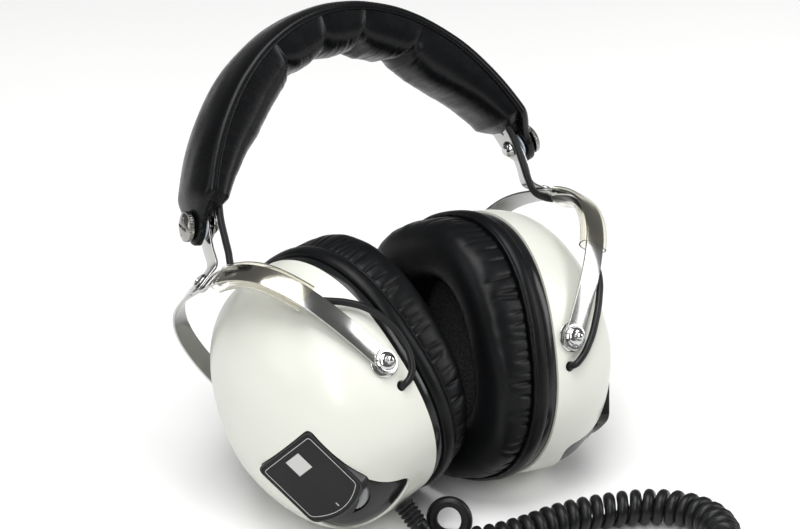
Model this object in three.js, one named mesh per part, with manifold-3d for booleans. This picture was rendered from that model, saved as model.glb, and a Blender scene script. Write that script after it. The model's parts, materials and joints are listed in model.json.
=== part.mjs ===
// Over-ear stereo headphones with a volume wheel on each cup, leaning back as they stand on a table.
// Millimetres, +Z up. The wearer faces +Y, so -X is the left cup, which the cord leaves.
import * as THREE from 'three';
import { mergeVertices } from 'three/addons/utils/BufferGeometryUtils.js';
import Module from 'manifold-3d';

const wasm = await Module();
wasm.setup();

// Driving dimensions.
const GAP = 0.3;
const LEAN = THREE.MathUtils.degToRad(-30);

// The headband's seam is an arc of an ellipse in the local XZ plane; z = 0 is the adjuster screws' line.
const BAND = { halfWidth: 80, halfHeight: 114.8, centreZ: -45.6, screwAngle: 23.4 };
const COVER = { halfWidth: 17, crown: 5.2, endCrown: 7, edge: 1.2, endAngle: 19.4, tabHalfWidth: 7.2,
  tabHeight: 3.6, screwSeat: 4.9 };
const PAD = { halfWidth: 16.6, depth: 15.6, endAngle: 26.6, endDepth: 0.44 };
const SPRING = { width: 12, thickness: 0.9, offset: -3.7, endAngle: 20.6 };
const STEM = { width: 9.5, thickness: 1, offset: -2.5, above: 25, straight: 3.5, lean: 12, lowerLean: 1.5,
  slotWidth: 4.6 };
const FOOT = { outside: 6.2, bend: 2.2, hole: 2.2 };
const SCREW = { shaftRadius: 1.9, headRadius: 6, headHeight: 3.2, from: -7.4 };

// The yokes hang under the feet of the stems; pivots are the middle points between each yoke's two pivots.
const YOKE = { footX: 78.6, footZ: -22.6, pivotX: 41, pivotZ: -76, halfWidth: 48.6, width: 8.6, thickness: 1.1,
  below: 5.5, squareness: 3 };
const SLEEVE = { from: 28, to: 82, halfWide: 7, above: 1.7, below: 5.3, wall: 0.5 };
const SIDES = [
  { name: 'left', sign: -1, yaw: 10.3, tilt: 17 },
  { name: 'right', sign: 1, yaw: 11.6, tilt: 5.7 },
];

// The cups. x is measured outward from the pivot axis, z up.
const RIM = { x: -8, z: 0.5, halfY: 46.9, halfZ: 54, squareness: 2.39 };
const SHELL = { depth: 46.5, wall: 2.2, drop: 9.5, sideCurve: 3.3, capCurve: 2.1, capSquareness: 1.65 };
const BAFFLE = { thickness: 4.2, recess: 0.6, holeRadius: 29 };
const FLANGE = { thickness: 6.6, proud: 1.2, lip: 9 };
const CUSHION = { thickness: 19, inset: 1.2, holeHalfY: 21, holeHalfZ: 28, squash: 0.5, squashPower: 2.2 };
const DRIVER = { radius: 27, depth: 13, magnetRadius: 16, magnetDepth: 10 };
const FOAM = { halfY: 31.5, halfZ: 34, thickness: 2.5 };
const PIVOT = { hole: 2.5, shaft: 2.2, shaftFrom: 40, headRadius: 4.3, ball: 1.9, bushRadius: 6, bushFrom: 47,
  bushTo: 47.75 };
const CABLE = { radius: 1.45, hole: 2.1, padHole: 2.2, padHoleDepth: 25, under: -2.35 };

// The volume housing is set into the shell. Its plate lies square to `out`; `up` runs up the plate.
const HOUSING = { centre: [34.06, -11.05, -23.8], out: [0.96, -0.2, -0.2], up: [0.219, 0.081, 0.972], depth: 13.5,
  halfWidth: 18.6, top: 15.8, cornerY: -15, bottom: -19.6, corner: 3, plateInset: 1.1, plate: 1 };
const APRON = { inset: 0.7, thickness: 2.6, outline: [[4.5, -28.5], [18, 5], [46, 5], [46, -28.5]], top: -24 };
const WHEEL = { y: 4, z: -11.5, radius: 11, from: -9, to: -4, bore: 2.8, teeth: 22, notch: 0.5 };
const POT = { radius: 8, from: -22, to: -14.2, shaft: 2.5, shaftTo: -3.4 };

// The curly cord. In the cord's frame x runs along the table in front of the cups, and -y comes forward.
const CORD = { turn: -29, wire: 2.3, coil: 7.5 };
const LOOP = { x: 20.5, y: -65, z: 9.6, radius: 7.1, drift: 4, lean: 2 };
const RELIEF = { length: 14, base: 4.2, tip: 3 };
const PLUG = { x: 86, y: -124, z: 6.4, gripRadius: 6.2, gripLength: 34, jackRadius: 3.15, jackLength: 31 };

const rad = THREE.MathUtils.degToRad;
const vec = (x, y, z) => new THREE.Vector3(x, y, z);

const material = (color, roughness, metalness = 0, extra = {}) => new THREE.MeshStandardMaterial({
  color, roughness, metalness, ...extra,
});
const leatherette = material(0x121212, 0.45);
const blackPlastic = material(0x17181a, 0.35);
const chrome = material(0xd0d0d0, 0.15, 1);
const whitePlastic = material(0xe6e5dc, 0.35);
const nylon = material(0xb9c4d2, 0.5);
const clearPvc = material(0xcfcfc0, 0.2, 0, { transparent: true, opacity: 0.4 });
const rubber = material(0x1b1b1c, 0.6);
const steel = material(0x8d8f90, 0.35, 1);
const paperCone = material(0x24221f, 0.9);
const foam = material(0x1a1a1a, 1);
const plate = material(0x2c2d2c, 0.4);

// Solids and booleans.
function toSolid(geometry) {
  const bare = geometry.clone();
  bare.deleteAttribute('normal');
  bare.deleteAttribute('uv');
  const merged = mergeVertices(bare, 1e-4);
  return new wasm.Manifold(new wasm.Mesh({
    numProp: 3,
    vertProperties: new Float32Array(merged.attributes.position.array),
    triVerts: new Uint32Array(merged.index.array),
  }));
}

function toGeometry(solid) {
  const mesh = solid.getMesh();
  const geometry = new THREE.BufferGeometry();
  geometry.setAttribute('position', new THREE.BufferAttribute(new Float32Array(mesh.vertProperties), 3));
  geometry.setIndex(new THREE.BufferAttribute(new Uint32Array(mesh.triVerts), 1));
  geometry.computeVertexNormals();
  return geometry;
}

function cut(geometry, ...tools) {
  return toGeometry(tools.reduce((solid, tool) => solid.subtract(toSolid(tool)), toSolid(geometry)));
}

function join(geometry, ...others) {
  return toGeometry(others.reduce((solid, other) => solid.add(toSolid(other)), toSolid(geometry)));
}

function mirrorX(geometry) {
  const mirrored = mergeVertices(geometry.clone().scale(-1, 1, 1));
  const index = mirrored.index;
  for (let i = 0; i < index.count; i += 3) {
    const first = index.getX(i);
    index.setX(i, index.getX(i + 2));
    index.setX(i + 2, first);
  }
  return mirrored;
}

// A loft through rings of equal length, capped at both ends, or joined end to start when `loop` is true.
function loft(rings, loop = false) {
  const count = rings[0].length;
  const points = rings.flat();
  const faces = [];
  const spans = loop ? rings.length : rings.length - 1;
  for (let i = 0; i < spans; i += 1) {
    const here = i * count;
    const next = ((i + 1) % rings.length) * count;
    for (let j = 0; j < count; j += 1) {
      const k = (j + 1) % count;
      faces.push(here + j, here + k, next + k, here + j, next + k, next + j);
    }
  }
  if (!loop) {
    [[0, true], [(rings.length - 1) * count, false]].forEach(([start, flip]) => {
      const middle = points.length;
      points.push(rings[start / count].reduce((sum, p) => sum.add(p), vec(0, 0, 0)).divideScalar(count));
      for (let j = 0; j < count; j += 1) {
        const k = (j + 1) % count;
        faces.push(middle, start + (flip ? k : j), start + (flip ? j : k));
      }
    });
  }
  const geometry = new THREE.BufferGeometry();
  geometry.setAttribute('position', new THREE.Float32BufferAttribute(points.flatMap((p) => [p.x, p.y, p.z]), 3));
  geometry.setIndex(faces);
  return outward(geometry);
}

// Turns the faces of a closed geometry so that they point out.
function outward(geometry) {
  const p = geometry.attributes.position;
  const index = geometry.index.array;
  let volume = 0;
  for (let i = 0; i < index.length; i += 3) {
    const [a, b, c] = [0, 1, 2].map((k) => vec(...[0, 1, 2].map((q) => p.array[index[i + k] * 3 + q])));
    volume += a.dot(b.cross(c));
  }
  if (volume < 0) {
    for (let i = 0; i < index.length; i += 3) {
      [index[i], index[i + 2]] = [index[i + 2], index[i]];
    }
  }
  geometry.computeVertexNormals();
  return geometry;
}

const OVAL_POINTS = 32;
const signedPower = (value, power) => Math.sign(value) * Math.abs(value) ** power;

// A ring of points on a superellipse in the plane x = const.
function oval(x, z, halfY, halfZ, count = OVAL_POINTS, squareness = RIM.squareness) {
  return Array.from({ length: count }, (_, i) => {
    const angle = (i / count) * 2 * Math.PI;
    return vec(x, halfY * signedPower(Math.cos(angle), 2 / squareness),
      z + halfZ * signedPower(Math.sin(angle), 2 / squareness));
  });
}

function extrudeAcross(shape, width) {
  // The shape is drawn in local X (shape x) and Z (shape y), and its width runs along Y.
  const geometry = new THREE.ExtrudeGeometry(shape, { depth: width, bevelEnabled: false, curveSegments: 10 });
  return geometry.translate(0, 0, -width / 2).rotateX(Math.PI / 2);
}

function tube(points, radius, sides = 8, steps = 24) {
  const path = new THREE.CatmullRomCurve3(points, false, 'centripetal');
  const section = new THREE.Shape(Array.from({ length: sides }, (_, i) => {
    const angle = (i / sides) * 2 * Math.PI;
    return new THREE.Vector2(radius * Math.cos(angle), radius * Math.sin(angle));
  }));
  return new THREE.ExtrudeGeometry(section, { steps, extrudePath: path, bevelEnabled: false });
}

// A lathe solid whose axis points along `axis` from `origin`; the profile is [radius, height] pairs.
function turned(profile, origin = vec(0, 0, 0), axis = vec(0, 1, 0), segments = 10) {
  const geometry = new THREE.LatheGeometry(profile.map(([r, h]) => new THREE.Vector2(r, h)), segments);
  geometry.applyQuaternion(new THREE.Quaternion().setFromUnitVectors(vec(0, 1, 0), axis.clone().normalize()));
  return outward(geometry.translate(origin.x, origin.y, origin.z));
}

function box(width, depth, height, x = 0, y = 0, z = 0) {
  return new THREE.BoxGeometry(width, depth, height).translate(x, y, z);
}

function named(name, geometry, finish) {
  const mesh = new THREE.Mesh(geometry, finish);
  mesh.name = name;
  return mesh;
}

// Headband.
function bandPoint(degrees, offset = 0, y = 0) {
  const t = rad(degrees);
  const normal = bandNormal(degrees);
  return vec(BAND.halfWidth * Math.cos(t), y, BAND.centreZ + BAND.halfHeight * Math.sin(t))
    .addScaledVector(normal, offset);
}

function bandNormal(degrees) {
  const t = rad(degrees);
  return vec(BAND.halfHeight * Math.cos(t), 0, BAND.halfWidth * Math.sin(t)).normalize();
}

// The stems slide in and out along this line; SLIDE_OUT is square to a stem's flat side.
const SLIDE_DOWN = vec(Math.sin(rad(STEM.lean)), 0, -Math.cos(rad(STEM.lean)));
const SLIDE_UP = SLIDE_DOWN.clone().negate();
const SLIDE_OUT = vec(Math.cos(rad(STEM.lean)), 0, Math.sin(rad(STEM.lean)));

// How far a point of the band is from its nearer end, as an angle.
const fromEnd = (degrees, end) => Math.min(degrees, 180 - degrees) - end;

function steps(from, to, count) {
  return Array.from({ length: count + 1 }, (_, i) => from + ((to - from) * i) / count);
}

function coverSection(degrees) {
  const near = fromEnd(degrees, COVER.endAngle);
  const round = Math.sqrt(THREE.MathUtils.clamp(near / 3.2, 0.02, 1));
  const widen = THREE.MathUtils.smoothstep(near, 3.5, 11);
  const half = THREE.MathUtils.lerp(COVER.tabHalfWidth * round, COVER.halfWidth, widen);
  const rise = THREE.MathUtils.lerp(COVER.endCrown, COVER.crown, THREE.MathUtils.smoothstep(near, 5, 60));
  const crown = THREE.MathUtils.lerp(COVER.tabHeight, rise, widen);
  const arc = steps(0, Math.PI, 8).map((a) => [half * Math.cos(a), COVER.edge + (crown - COVER.edge) * Math.sin(a)]);
  return [...arc, [-half, 0], [half, 0]].map(([y, r]) => bandPoint(degrees, r, y));
}

function padSection(degrees) {
  const near = fromEnd(degrees, PAD.endAngle);
  const fill = Math.sqrt(THREE.MathUtils.clamp(near / 4, 0.45, 1));
  const depth = PAD.depth * THREE.MathUtils.lerp(PAD.endDepth, 1, THREE.MathUtils.smoothstep(near, -2, 27));
  return steps(0, 2 * Math.PI, 14).slice(0, 14).map((a) => {
    const y = PAD.halfWidth * fill * signedPower(Math.cos(a), 0.75);
    const r = Math.sin(a) > 0 ? 0 : (depth * fill) * signedPower(Math.sin(a), 0.8);
    return bandPoint(degrees, -GAP + r, y);
  });
}

function stemPocket(clearance = 0.5) {
  const centre = bandPoint(BAND.screwAngle).addScaledVector(SLIDE_OUT, STEM.offset + STEM.thickness / 2);
  const length = STEM.above + 30;
  const geometry = box(STEM.thickness + 2 * clearance, STEM.width + 2 * clearance, length, 0, 0,
    STEM.above + clearance - length / 2);
  geometry.applyMatrix4(new THREE.Matrix4().makeBasis(SLIDE_OUT, vec(0, 1, 0), SLIDE_UP));
  return geometry.translate(centre.x, centre.y, centre.z);
}

function screwHole(radius = SCREW.shaftRadius + GAP, from = -8, to = 12) {
  return turned([[0, from], [radius, from], [radius, to], [0, to]],
    bandPoint(BAND.screwAngle), SLIDE_OUT, 16);
}

function springSweep(grow = 0) {
  const angles = steps(SPRING.endAngle, 180 - SPRING.endAngle, 30);
  const outer = angles.map((a) => bandPoint(a, SPRING.offset + grow));
  const inner = angles.map((a) => bandPoint(a, SPRING.offset - SPRING.thickness - grow)).reverse();
  const outline = new THREE.Shape([...outer, ...inner].map((p) => new THREE.Vector2(p.x, p.z)));
  return extrudeAcross(outline, SPRING.width + 2 * grow);
}

function springStrip() {
  return cut(springSweep(), screwHole(), mirrorX(screwHole()));
}

function stemSolid() {
  // Drawn for the right side; the left one is its mirror.
  const start = bandPoint(BAND.screwAngle).addScaledVector(SLIDE_OUT, STEM.offset + STEM.thickness / 2);
  const top = start.clone().addScaledVector(SLIDE_DOWN, -STEM.above);
  const knee = start.clone().addScaledVector(SLIDE_DOWN, STEM.straight);
  const lower = vec(Math.sin(rad(STEM.lowerLean)), 0, -Math.cos(rad(STEM.lowerLean)));
  const foot = vec(YOKE.footX, 0, YOKE.footZ);
  const up = yokeUp(1);
  const along = vec(up.z, 0, -up.x);
  const seat = foot.clone().addScaledVector(up, YOKE.thickness / 2 + GAP + STEM.thickness / 2);
  const corner = intersection(knee, lower, seat, along);
  const path = [
    top,
    knee,
    corner.clone().addScaledVector(lower, -FOOT.bend),
    corner.clone().addScaledVector(lower, -FOOT.bend * 0.3).addScaledVector(along, FOOT.bend * 0.3),
    corner.clone().addScaledVector(along, FOOT.bend),
    seat.clone().addScaledVector(along, FOOT.outside),
  ];
  const half = STEM.thickness / 2;
  const sideOf = (p, i) => {
    const before = path[Math.max(i - 1, 0)];
    const after = path[Math.min(i + 1, path.length - 1)];
    const direction = after.clone().sub(before).normalize();
    return vec(-direction.z, 0, direction.x);
  };
  const left = path.map((p, i) => p.clone().addScaledVector(sideOf(p, i), half));
  const right = path.map((p, i) => p.clone().addScaledVector(sideOf(p, i), -half)).reverse();
  const outline = new THREE.Shape([...left, ...right].map((p) => new THREE.Vector2(p.x, p.z)));
  const slotLength = STEM.above - 8;
  const slot = box(12, STEM.slotWidth, slotLength, 0, 0, slotLength / 2 - STEM.slotWidth / 2 + 0.2);
  slot.applyMatrix4(new THREE.Matrix4().makeBasis(SLIDE_OUT, vec(0, 1, 0), SLIDE_UP));
  slot.translate(start.x, start.y, start.z);
  const rivetHole = turned([[0, -5], [FOOT.hole, -5], [FOOT.hole, 5], [0, 5]], seat, up);
  return cut(extrudeAcross(outline, STEM.width), slot, rivetHole);
}

function bandCover() {
  const end = COVER.endAngle;
  const angles = [...steps(end, end + 10, 7), ...steps(end + 18, 162 - end, 13), ...steps(170 - end, 180 - end, 7)];
  const body = loft(angles.map(coverSection));
  return cut(body, ...bandCuts());
}

function bandCuts() {
  const right = [stemPocket(), screwHole(), cableTunnel()];
  return [...right, ...right.map(mirrorX)];
}

// The cable runs down out of the pad beside the stem, and slides with it.
const CABLE_TOP = vec(66.3, -8.6, 8.6);

function cableTunnel() {
  return turned([[0, -14], [CABLE.padHole, -14], [CABLE.padHole, CABLE.padHoleDepth], [0, CABLE.padHoleDepth]],
    CABLE_TOP, SLIDE_UP, 10);
}

function bandPad() {
  const end = PAD.endAngle;
  const angles = [...steps(end, end + 6, 4), ...steps(end + 13, 167 - end, 12), ...steps(174 - end, 180 - end, 4)];
  return cut(loft(angles.map(padSection)), springSweep(0.4), ...bandCuts());
}

function adjusterScrew() {
  const head = COVER.screwSeat;
  const { shaftRadius: s, headRadius: r, headHeight: h } = SCREW;
  return turned([
    [0, SCREW.from], [s, SCREW.from], [s, head], [r, head], [r, head + h * 0.7], [r * 0.8, head + h], [0, head + h],
  ], bandPoint(BAND.screwAngle), SLIDE_OUT);
}

function ring(inner, outer, from, to) {
  return turned([[inner, from], [outer, from], [outer, to], [inner, to], [inner, from]],
    bandPoint(BAND.screwAngle), SLIDE_OUT);
}

function adjusterWasher() {
  return ring(SCREW.shaftRadius + 0.15, 5.2, STEM.offset + STEM.thickness + GAP, -GAP - 0.2);
}

function adjusterNut() {
  const under = SPRING.offset - SPRING.thickness - 2 * GAP;
  return ring(SCREW.shaftRadius + 0.15, 3.6, under - 1.8, under);
}

function footRivet() {
  const [under, over] = [-YOKE.thickness / 2 - GAP, YOKE.thickness / 2 + STEM.thickness + 2 * GAP];
  return turned([
    [0, under - 1.1], [2.6, under - 1.1], [3.4, under - 0.4], [3.4, under], [1.9, under], [1.9, over], [3.4, over],
    [3.4, over + 0.4], [2.6, over + 1.1], [0, over + 1.1],
  ], vec(0, 0, YOKE_HEIGHT), vec(0, 0, 1));
}

// Where two lines in the XZ plane meet.
function intersection(p, d, q, e) {
  const denominator = d.x * e.z - d.z * e.x;
  const t = ((q.x - p.x) * e.z - (q.z - p.z) * e.x) / denominator;
  return p.clone().addScaledVector(d, t);
}

// Yokes: direction from the pivots' middle up to the stem's foot.
function yokeUp(side) {
  return vec(side * (YOKE.footX - YOKE.pivotX), 0, YOKE.footZ - YOKE.pivotZ).normalize();
}

const YOKE_HEIGHT = Math.hypot(YOKE.footX - YOKE.pivotX, YOKE.footZ - YOKE.pivotZ);
const YOKE_ANGLE = Math.atan2(YOKE.footX - YOKE.pivotX, YOKE.footZ - YOKE.pivotZ);

// A point on the yoke's middle line: 0 is the pivot at -Y, 180 the one at +Y. offset is away from the middle.
function yokePoint(degrees, offset = 0) {
  const t = rad(degrees);
  const power = 2 / YOKE.squareness;
  const point = (angle) => vec(0, -YOKE.halfWidth * signedPower(Math.cos(angle), power),
    YOKE_HEIGHT * signedPower(Math.sin(angle), power));
  const tangent = point(t + 0.01).sub(point(t - 0.01)).normalize();
  return point(t).addScaledVector(vec(0, -tangent.z, tangent.y), offset);
}

function yokeStrip() {
  const half = YOKE.thickness / 2;
  const rise = [0.6, 4, 10, 18, 26, 34, 42, 50, 58, 66, 74, 82];
  const sweep = [...rise, 90, ...rise.map((a) => 180 - a).reverse()];
  const end = (y) => vec(0, y, -YOKE.below);
  const outline = [
    end(-YOKE.halfWidth - half), ...sweep.map((a) => yokePoint(a, half)), end(YOKE.halfWidth + half),
    end(YOKE.halfWidth - half), ...sweep.map((a) => yokePoint(a, -half)).reverse(), end(-YOKE.halfWidth + half),
  ];
  const shape = new THREE.Shape(outline.map((p) => new THREE.Vector2(p.y, p.z)));
  const strip = new THREE.ExtrudeGeometry(shape, { depth: YOKE.width, bevelEnabled: false });
  // Shape x becomes Y, shape y becomes Z, and the depth becomes X.
  strip.applyMatrix4(new THREE.Matrix4().makeBasis(vec(0, 1, 0), vec(0, 0, 1), vec(1, 0, 0)));
  strip.translate(-YOKE.width / 2, 0, 0);
  const pivotHole = turned([[0, -60], [PIVOT.hole, -60], [PIVOT.hole, 60], [0, 60]]);
  const rivetHole = turned([[0, -5], [FOOT.hole, -5], [FOOT.hole, 5], [0, 5]], vec(0, 0, YOKE_HEIGHT), vec(0, 0, 1));
  return cut(strip, pivotHole, rivetHole);
}

// A clear sleeve, open at both ends, around the strip and the cable that runs under it.
function sleeve() {
  const section = (degrees, halfWide, above, below) => steps(0, 2 * Math.PI, 12).slice(0, 12).map((a) => {
    const depth = Math.sin(a) > 0 ? above : below;
    const point = yokePoint(degrees, depth * signedPower(Math.sin(a), 0.7));
    point.x = halfWide * signedPower(Math.cos(a), 0.5);
    return point;
  });
  const angles = steps(SLEEVE.from, SLEEVE.to, 8);
  const outer = angles.map((a) => section(a, SLEEVE.halfWide, SLEEVE.above, SLEEVE.below));
  const inner = angles.map((a) => section(a, SLEEVE.halfWide - SLEEVE.wall, SLEEVE.above - SLEEVE.wall,
    SLEEVE.below - SLEEVE.wall)).reverse();
  return loft([...outer, ...inner], true);
}

// Cups. Every cup piece is drawn for the right side in the cup's frame, and mirrored for the left.
function shellRing(u, inset) {
  const scale = (1 - u ** SHELL.sideCurve) ** (1 / SHELL.capCurve);
  return oval(RIM.x + (SHELL.depth - inset) * u, RIM.z - SHELL.drop * u * u,
    (RIM.halfY - inset) * scale, (RIM.halfZ - inset) * scale, OVAL_POINTS,
    THREE.MathUtils.lerp(RIM.squareness, SHELL.capSquareness, u));
}

const DOME_STEPS = [0, 0.25, 0.47, 0.66, 0.8, 0.9, 0.965, 0.995];

const CABLE_ENTRY = vec(-2, -46.5, -11.5);
const CORD_ENTRY = vec(5, -12.5, -53);

function shellSolid() {
  const outer = DOME_STEPS.map((u) => shellRing(u, 0));
  const inner = DOME_STEPS.map((u) => shellRing(u, SHELL.wall)).reverse();
  const pivotHoles = turned([[0, -60], [PIVOT.hole, -60], [PIVOT.hole, 60], [0, 60]]);
  const hole = (radius, at, axis) => turned([[0, -6], [radius, -6], [radius, 6], [0, 6]], at, axis, 12);
  return cut(loft([...inner, ...outer]), pivotHoles, hole(CABLE.hole, CABLE_ENTRY, vec(0, 1, 0)),
    housingPrism(GAP, 12), apronPrism(GAP));
}

// The solid dome, without its hollow, `inset` inside the shell's outer surface.
function domeSolid(inset) {
  return loft(DOME_STEPS.map((u) => shellRing(u, inset)));
}

const HOUSING_BASIS = (() => {
  const out = vec(...HOUSING.out).normalize();
  const up = vec(...HOUSING.up);
  up.addScaledVector(out, -up.dot(out)).normalize();
  const across = up.clone().cross(out);
  return new THREE.Matrix4().makeBasis(out, across, up).setPosition(vec(...HOUSING.centre));
})();

// Places a geometry drawn in the housing's frame: x out through the plate, y across it, z up it.
const atHousing = (geometry) => geometry.clone().applyMatrix4(HOUSING_BASIS);

function housingOutline(grow) {
  const half = HOUSING.halfWidth + grow;
  const top = HOUSING.top + grow;
  const bottom = HOUSING.cornerY - grow;
  const c = HOUSING.corner;
  const shape = new THREE.Shape();
  shape.moveTo(-half, bottom + c);
  shape.quadraticCurveTo(-half, bottom, -half + c, bottom - 0.8);
  shape.quadraticCurveTo(0, 2 * (HOUSING.bottom - grow) - bottom, half - c, bottom - 0.8);
  shape.quadraticCurveTo(half, bottom, half, bottom + c);
  shape.lineTo(half, top - c);
  shape.quadraticCurveTo(half, top, half - c, top);
  shape.lineTo(-half + c, top);
  shape.quadraticCurveTo(-half, top, -half, top - c);
  return shape;
}

function prismAlongX(shape, from, to, curveSegments = 5) {
  const geometry = new THREE.ExtrudeGeometry(shape, { depth: to - from, bevelEnabled: false, curveSegments });
  geometry.applyMatrix4(new THREE.Matrix4().makeBasis(vec(0, 1, 0), vec(0, 0, 1), vec(1, 0, 0)));
  return geometry.translate(from, 0, 0);
}

function housingPrism(grow, to) {
  return atHousing(prismAlongX(housingOutline(grow), -HOUSING.depth - grow, to));
}

function apronPrism(grow) {
  const shape = new THREE.Shape(APRON.outline.map(([x, y]) => new THREE.Vector2(
    x + (x < 40 ? -grow : grow), y + (y < 0 ? -grow : grow))));
  return new THREE.ExtrudeGeometry(shape, { depth: 62, bevelEnabled: false }).translate(0, 0, APRON.top + grow - 62);
}

function wheelPlaced(profile, segments = 20) {
  return turned(profile, vec(0, WHEEL.y * -1, WHEEL.z), vec(1, 0, 0), segments);
}

function volumeHousing() {
  const apron = toGeometry(toSolid(domeSolid(APRON.inset)).intersect(toSolid(apronPrism(0)))
    .subtract(toSolid(domeSolid(APRON.inset + APRON.thickness)))
    .subtract(toSolid(atHousing(prismAlongX(housingOutline(2), -HOUSING.plate - GAP, 20)))));
  const block = housingPrism(0, -HOUSING.plate - GAP);
  const slot = wheelPlaced([[0, WHEEL.from - 0.6], [WHEEL.radius + 0.6, WHEEL.from - 0.6],
    [WHEEL.radius + 0.6, WHEEL.to + 0.6], [0, WHEEL.to + 0.6]]);
  const bore = wheelPlaced([[0, -30], [POT.shaft + 0.4, -30], [POT.shaft + 0.4, -3], [0, -3]], 14);
  return cut(join(block, apron), atHousing(slot), atHousing(bore));
}

function labelPlate() {
  return atHousing(prismAlongX(housingOutline(-HOUSING.plateInset), -HOUSING.plate, 0));
}

function volumeWheel() {
  const { radius, from, to, bore, teeth, notch } = WHEEL;
  const shape = new THREE.Shape(Array.from({ length: teeth * 2 }, (_, i) => {
    const angle = (i / (teeth * 2)) * 2 * Math.PI;
    const r = i % 2 ? radius - notch : radius;
    return new THREE.Vector2(r * Math.cos(angle), r * Math.sin(angle));
  }));
  shape.holes.push(new THREE.Path().absarc(0, 0, bore, 0, 2 * Math.PI));
  return atHousing(prismAlongX(shape, from, to, 8).translate(0, -WHEEL.y, WHEEL.z));
}

function potentiometer() {
  const { radius, from, to, shaft, shaftTo } = POT;
  return atHousing(wheelPlaced([[0, from], [radius, from], [radius, to], [shaft, to], [shaft, shaftTo], [0, shaftTo]], 18));
}

// Cables. The lower cable runs under the yoke's strip, leaves the sleeve and goes into the shell.
function cupToYoke(side, point) {
  return point.clone().applyAxisAngle(vec(0, 1, 0), rad(side.tilt) - YOKE_ANGLE);
}

const LOWER_CABLE = {
  left: { yoke: [[-2.6, -42.2, 36.6], [-5.8, -43.6, 32]],
    cup: [[-1.5, -45.8, 27.4], [-6.6, -48.3, 21], [-10, -50.1, 12.5], [-11.2, -50.6, 3], [-9.6, -50.4, -5.2],
      [-6, -49.4, -10.2], [-2.6, -47.6, -11.6]] },
  right: { yoke: [[2.6, -42.2, 36.3], [6.6, -44.4, 29], [7.6, -47.2, 20], [7.9, -48.9, 10], [7.6, -49.4, 1],
    [5.6, -49.3, -7.6]], cup: [[-1, -48.6, -10.9]] },
};

function lowerCable(side) {
  const under = [85, 78, 70, 60, 50, 41].map((angle) => yokePoint(angle, CABLE.under));
  const free = LOWER_CABLE[side.name];
  const entry = CABLE_ENTRY.clone().add(vec(0, 3.5, 0));
  return tube([...under, ...free.yoke.map((p) => vec(...p)), ...free.cup.map((p) => cupToYoke(side, vec(...p))),
    cupToYoke(side, entry)], CABLE.radius, 6, 28);
}

function upperCable(side) {
  const meeting = yokePoint(85, CABLE.under).applyAxisAngle(vec(0, 0, 1), side.sign * rad(side.yaw));
  meeting.applyAxisAngle(vec(0, 1, 0), YOKE_ANGLE).add(vec(YOKE.pivotX, 0, YOKE.pivotZ));
  const end = meeting.clone().add(vec(-0.5, 1.8, 0.2));
  return tube([CABLE_TOP.clone().addScaledVector(SLIDE_UP, 21), CABLE_TOP, vec(67.8, -8.6, 1), vec(68.4, -8.8, -8),
    vec(68.8, -8.8, -15), vec(70.2, -8.4, -20.5), end.clone().add(vec(-3, 0.4, 1.4)), end], CABLE.radius, 6, 14);
}

// Free cord, in the cord's frame.
const COIL_AXIS = [
  [28.5, -80.5], [39, -77.5], [51, -71.5], [65, -62.5], [81, -56.5], [97, -53.5], [109, -54.5], [118, -58.5], [124.5, -65],
  [128, -74], [127.5, -84], [122, -94.5], [114, -101.5], [102, -104], [84, -104], [60, -104], [40, -104], [28, -104.8],
  [17, -109.5], [10.5, -118], [10, -129], [16, -138.5], [26, -143.5], [40, -144], [60, -144], [86, -144],
];

function coilSolid() {
  const points = COIL_AXIS.map(([x, y]) => vec(x, y, CORD.coil + 0.05));
  return tube(points, CORD.coil, 8, 46);
}

function leadSolid(start, direction) {
  const beyond = (distance) => start.clone().addScaledVector(direction, distance);
  const loop = steps(-90, 270, 12).map((angle) => vec(LOOP.x + LOOP.radius * Math.cos(rad(angle)),
    LOOP.y + LOOP.drift * ((angle + 90) / 360) + LOOP.lean * Math.sin(rad(angle)),
    LOOP.z + LOOP.radius * Math.sin(rad(angle))));
  return tube([beyond(GAP), beyond(2.5), vec(13, -68.2, 2.8), vec(16.5, -67.2, 2.5), ...loop, vec(25.2, -63.2, 2.6),
    vec(27.4, -67, 2.6), vec(25.4, -72.2, 2.6), vec(23.2, -76.8, 2.9), vec(25.7, -80.6, 4)], CORD.wire, 7, 38);
}

function tailSolid() {
  return tube([vec(86.9, -144, 4), vec(91, -143.6, 3), vec(97.5, -141, 2.5), vec(100.6, -134.5, 2.6),
    vec(98.5, -127.5, 4), vec(93, -124.2, 5.8), vec(PLUG.x + GAP, PLUG.y, PLUG.z)], CORD.wire, 7, 14);
}

function plugGrip() {
  const { gripRadius: r, gripLength: l } = PLUG;
  return turned([[0, 0], [3.2, 0], [4, 8], [r - 0.6, 9], [r, 10.5], [r, l - 2], [r - 0.8, l], [0, l]],
    vec(PLUG.x, PLUG.y, PLUG.z), vec(-1, 0, 0), 14);
}

function plugJack() {
  const { jackRadius: r, jackLength: l } = PLUG;
  return turned([[0, 0], [r, 0], [r, l - 4], [r - 1.1, l - 3.4], [r - 0.4, l - 2], [0.6, l], [0, l]],
    vec(PLUG.x - PLUG.gripLength - GAP, PLUG.y, PLUG.z), vec(-1, 0, 0), 12);
}

function ovalShape(halfY, halfZ, squareness) {
  return oval(0, RIM.z, halfY, halfZ, OVAL_POINTS, squareness).map((p) => new THREE.Vector2(p.y, p.z));
}

function ovalPlate(halfY, halfZ, thickness, x, hole = null) {
  const shape = new THREE.Shape(ovalShape(halfY, halfZ));
  if (hole) shape.holes.push(new THREE.Path().absarc(0, RIM.z, hole, 0, 2 * Math.PI));
  const geometry = new THREE.ExtrudeGeometry(shape, { depth: thickness, bevelEnabled: false, curveSegments: 10 });
  geometry.applyMatrix4(new THREE.Matrix4().makeBasis(vec(0, 1, 0), vec(0, 0, 1), vec(1, 0, 0)));
  return geometry.translate(x, 0, 0);
}

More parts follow.
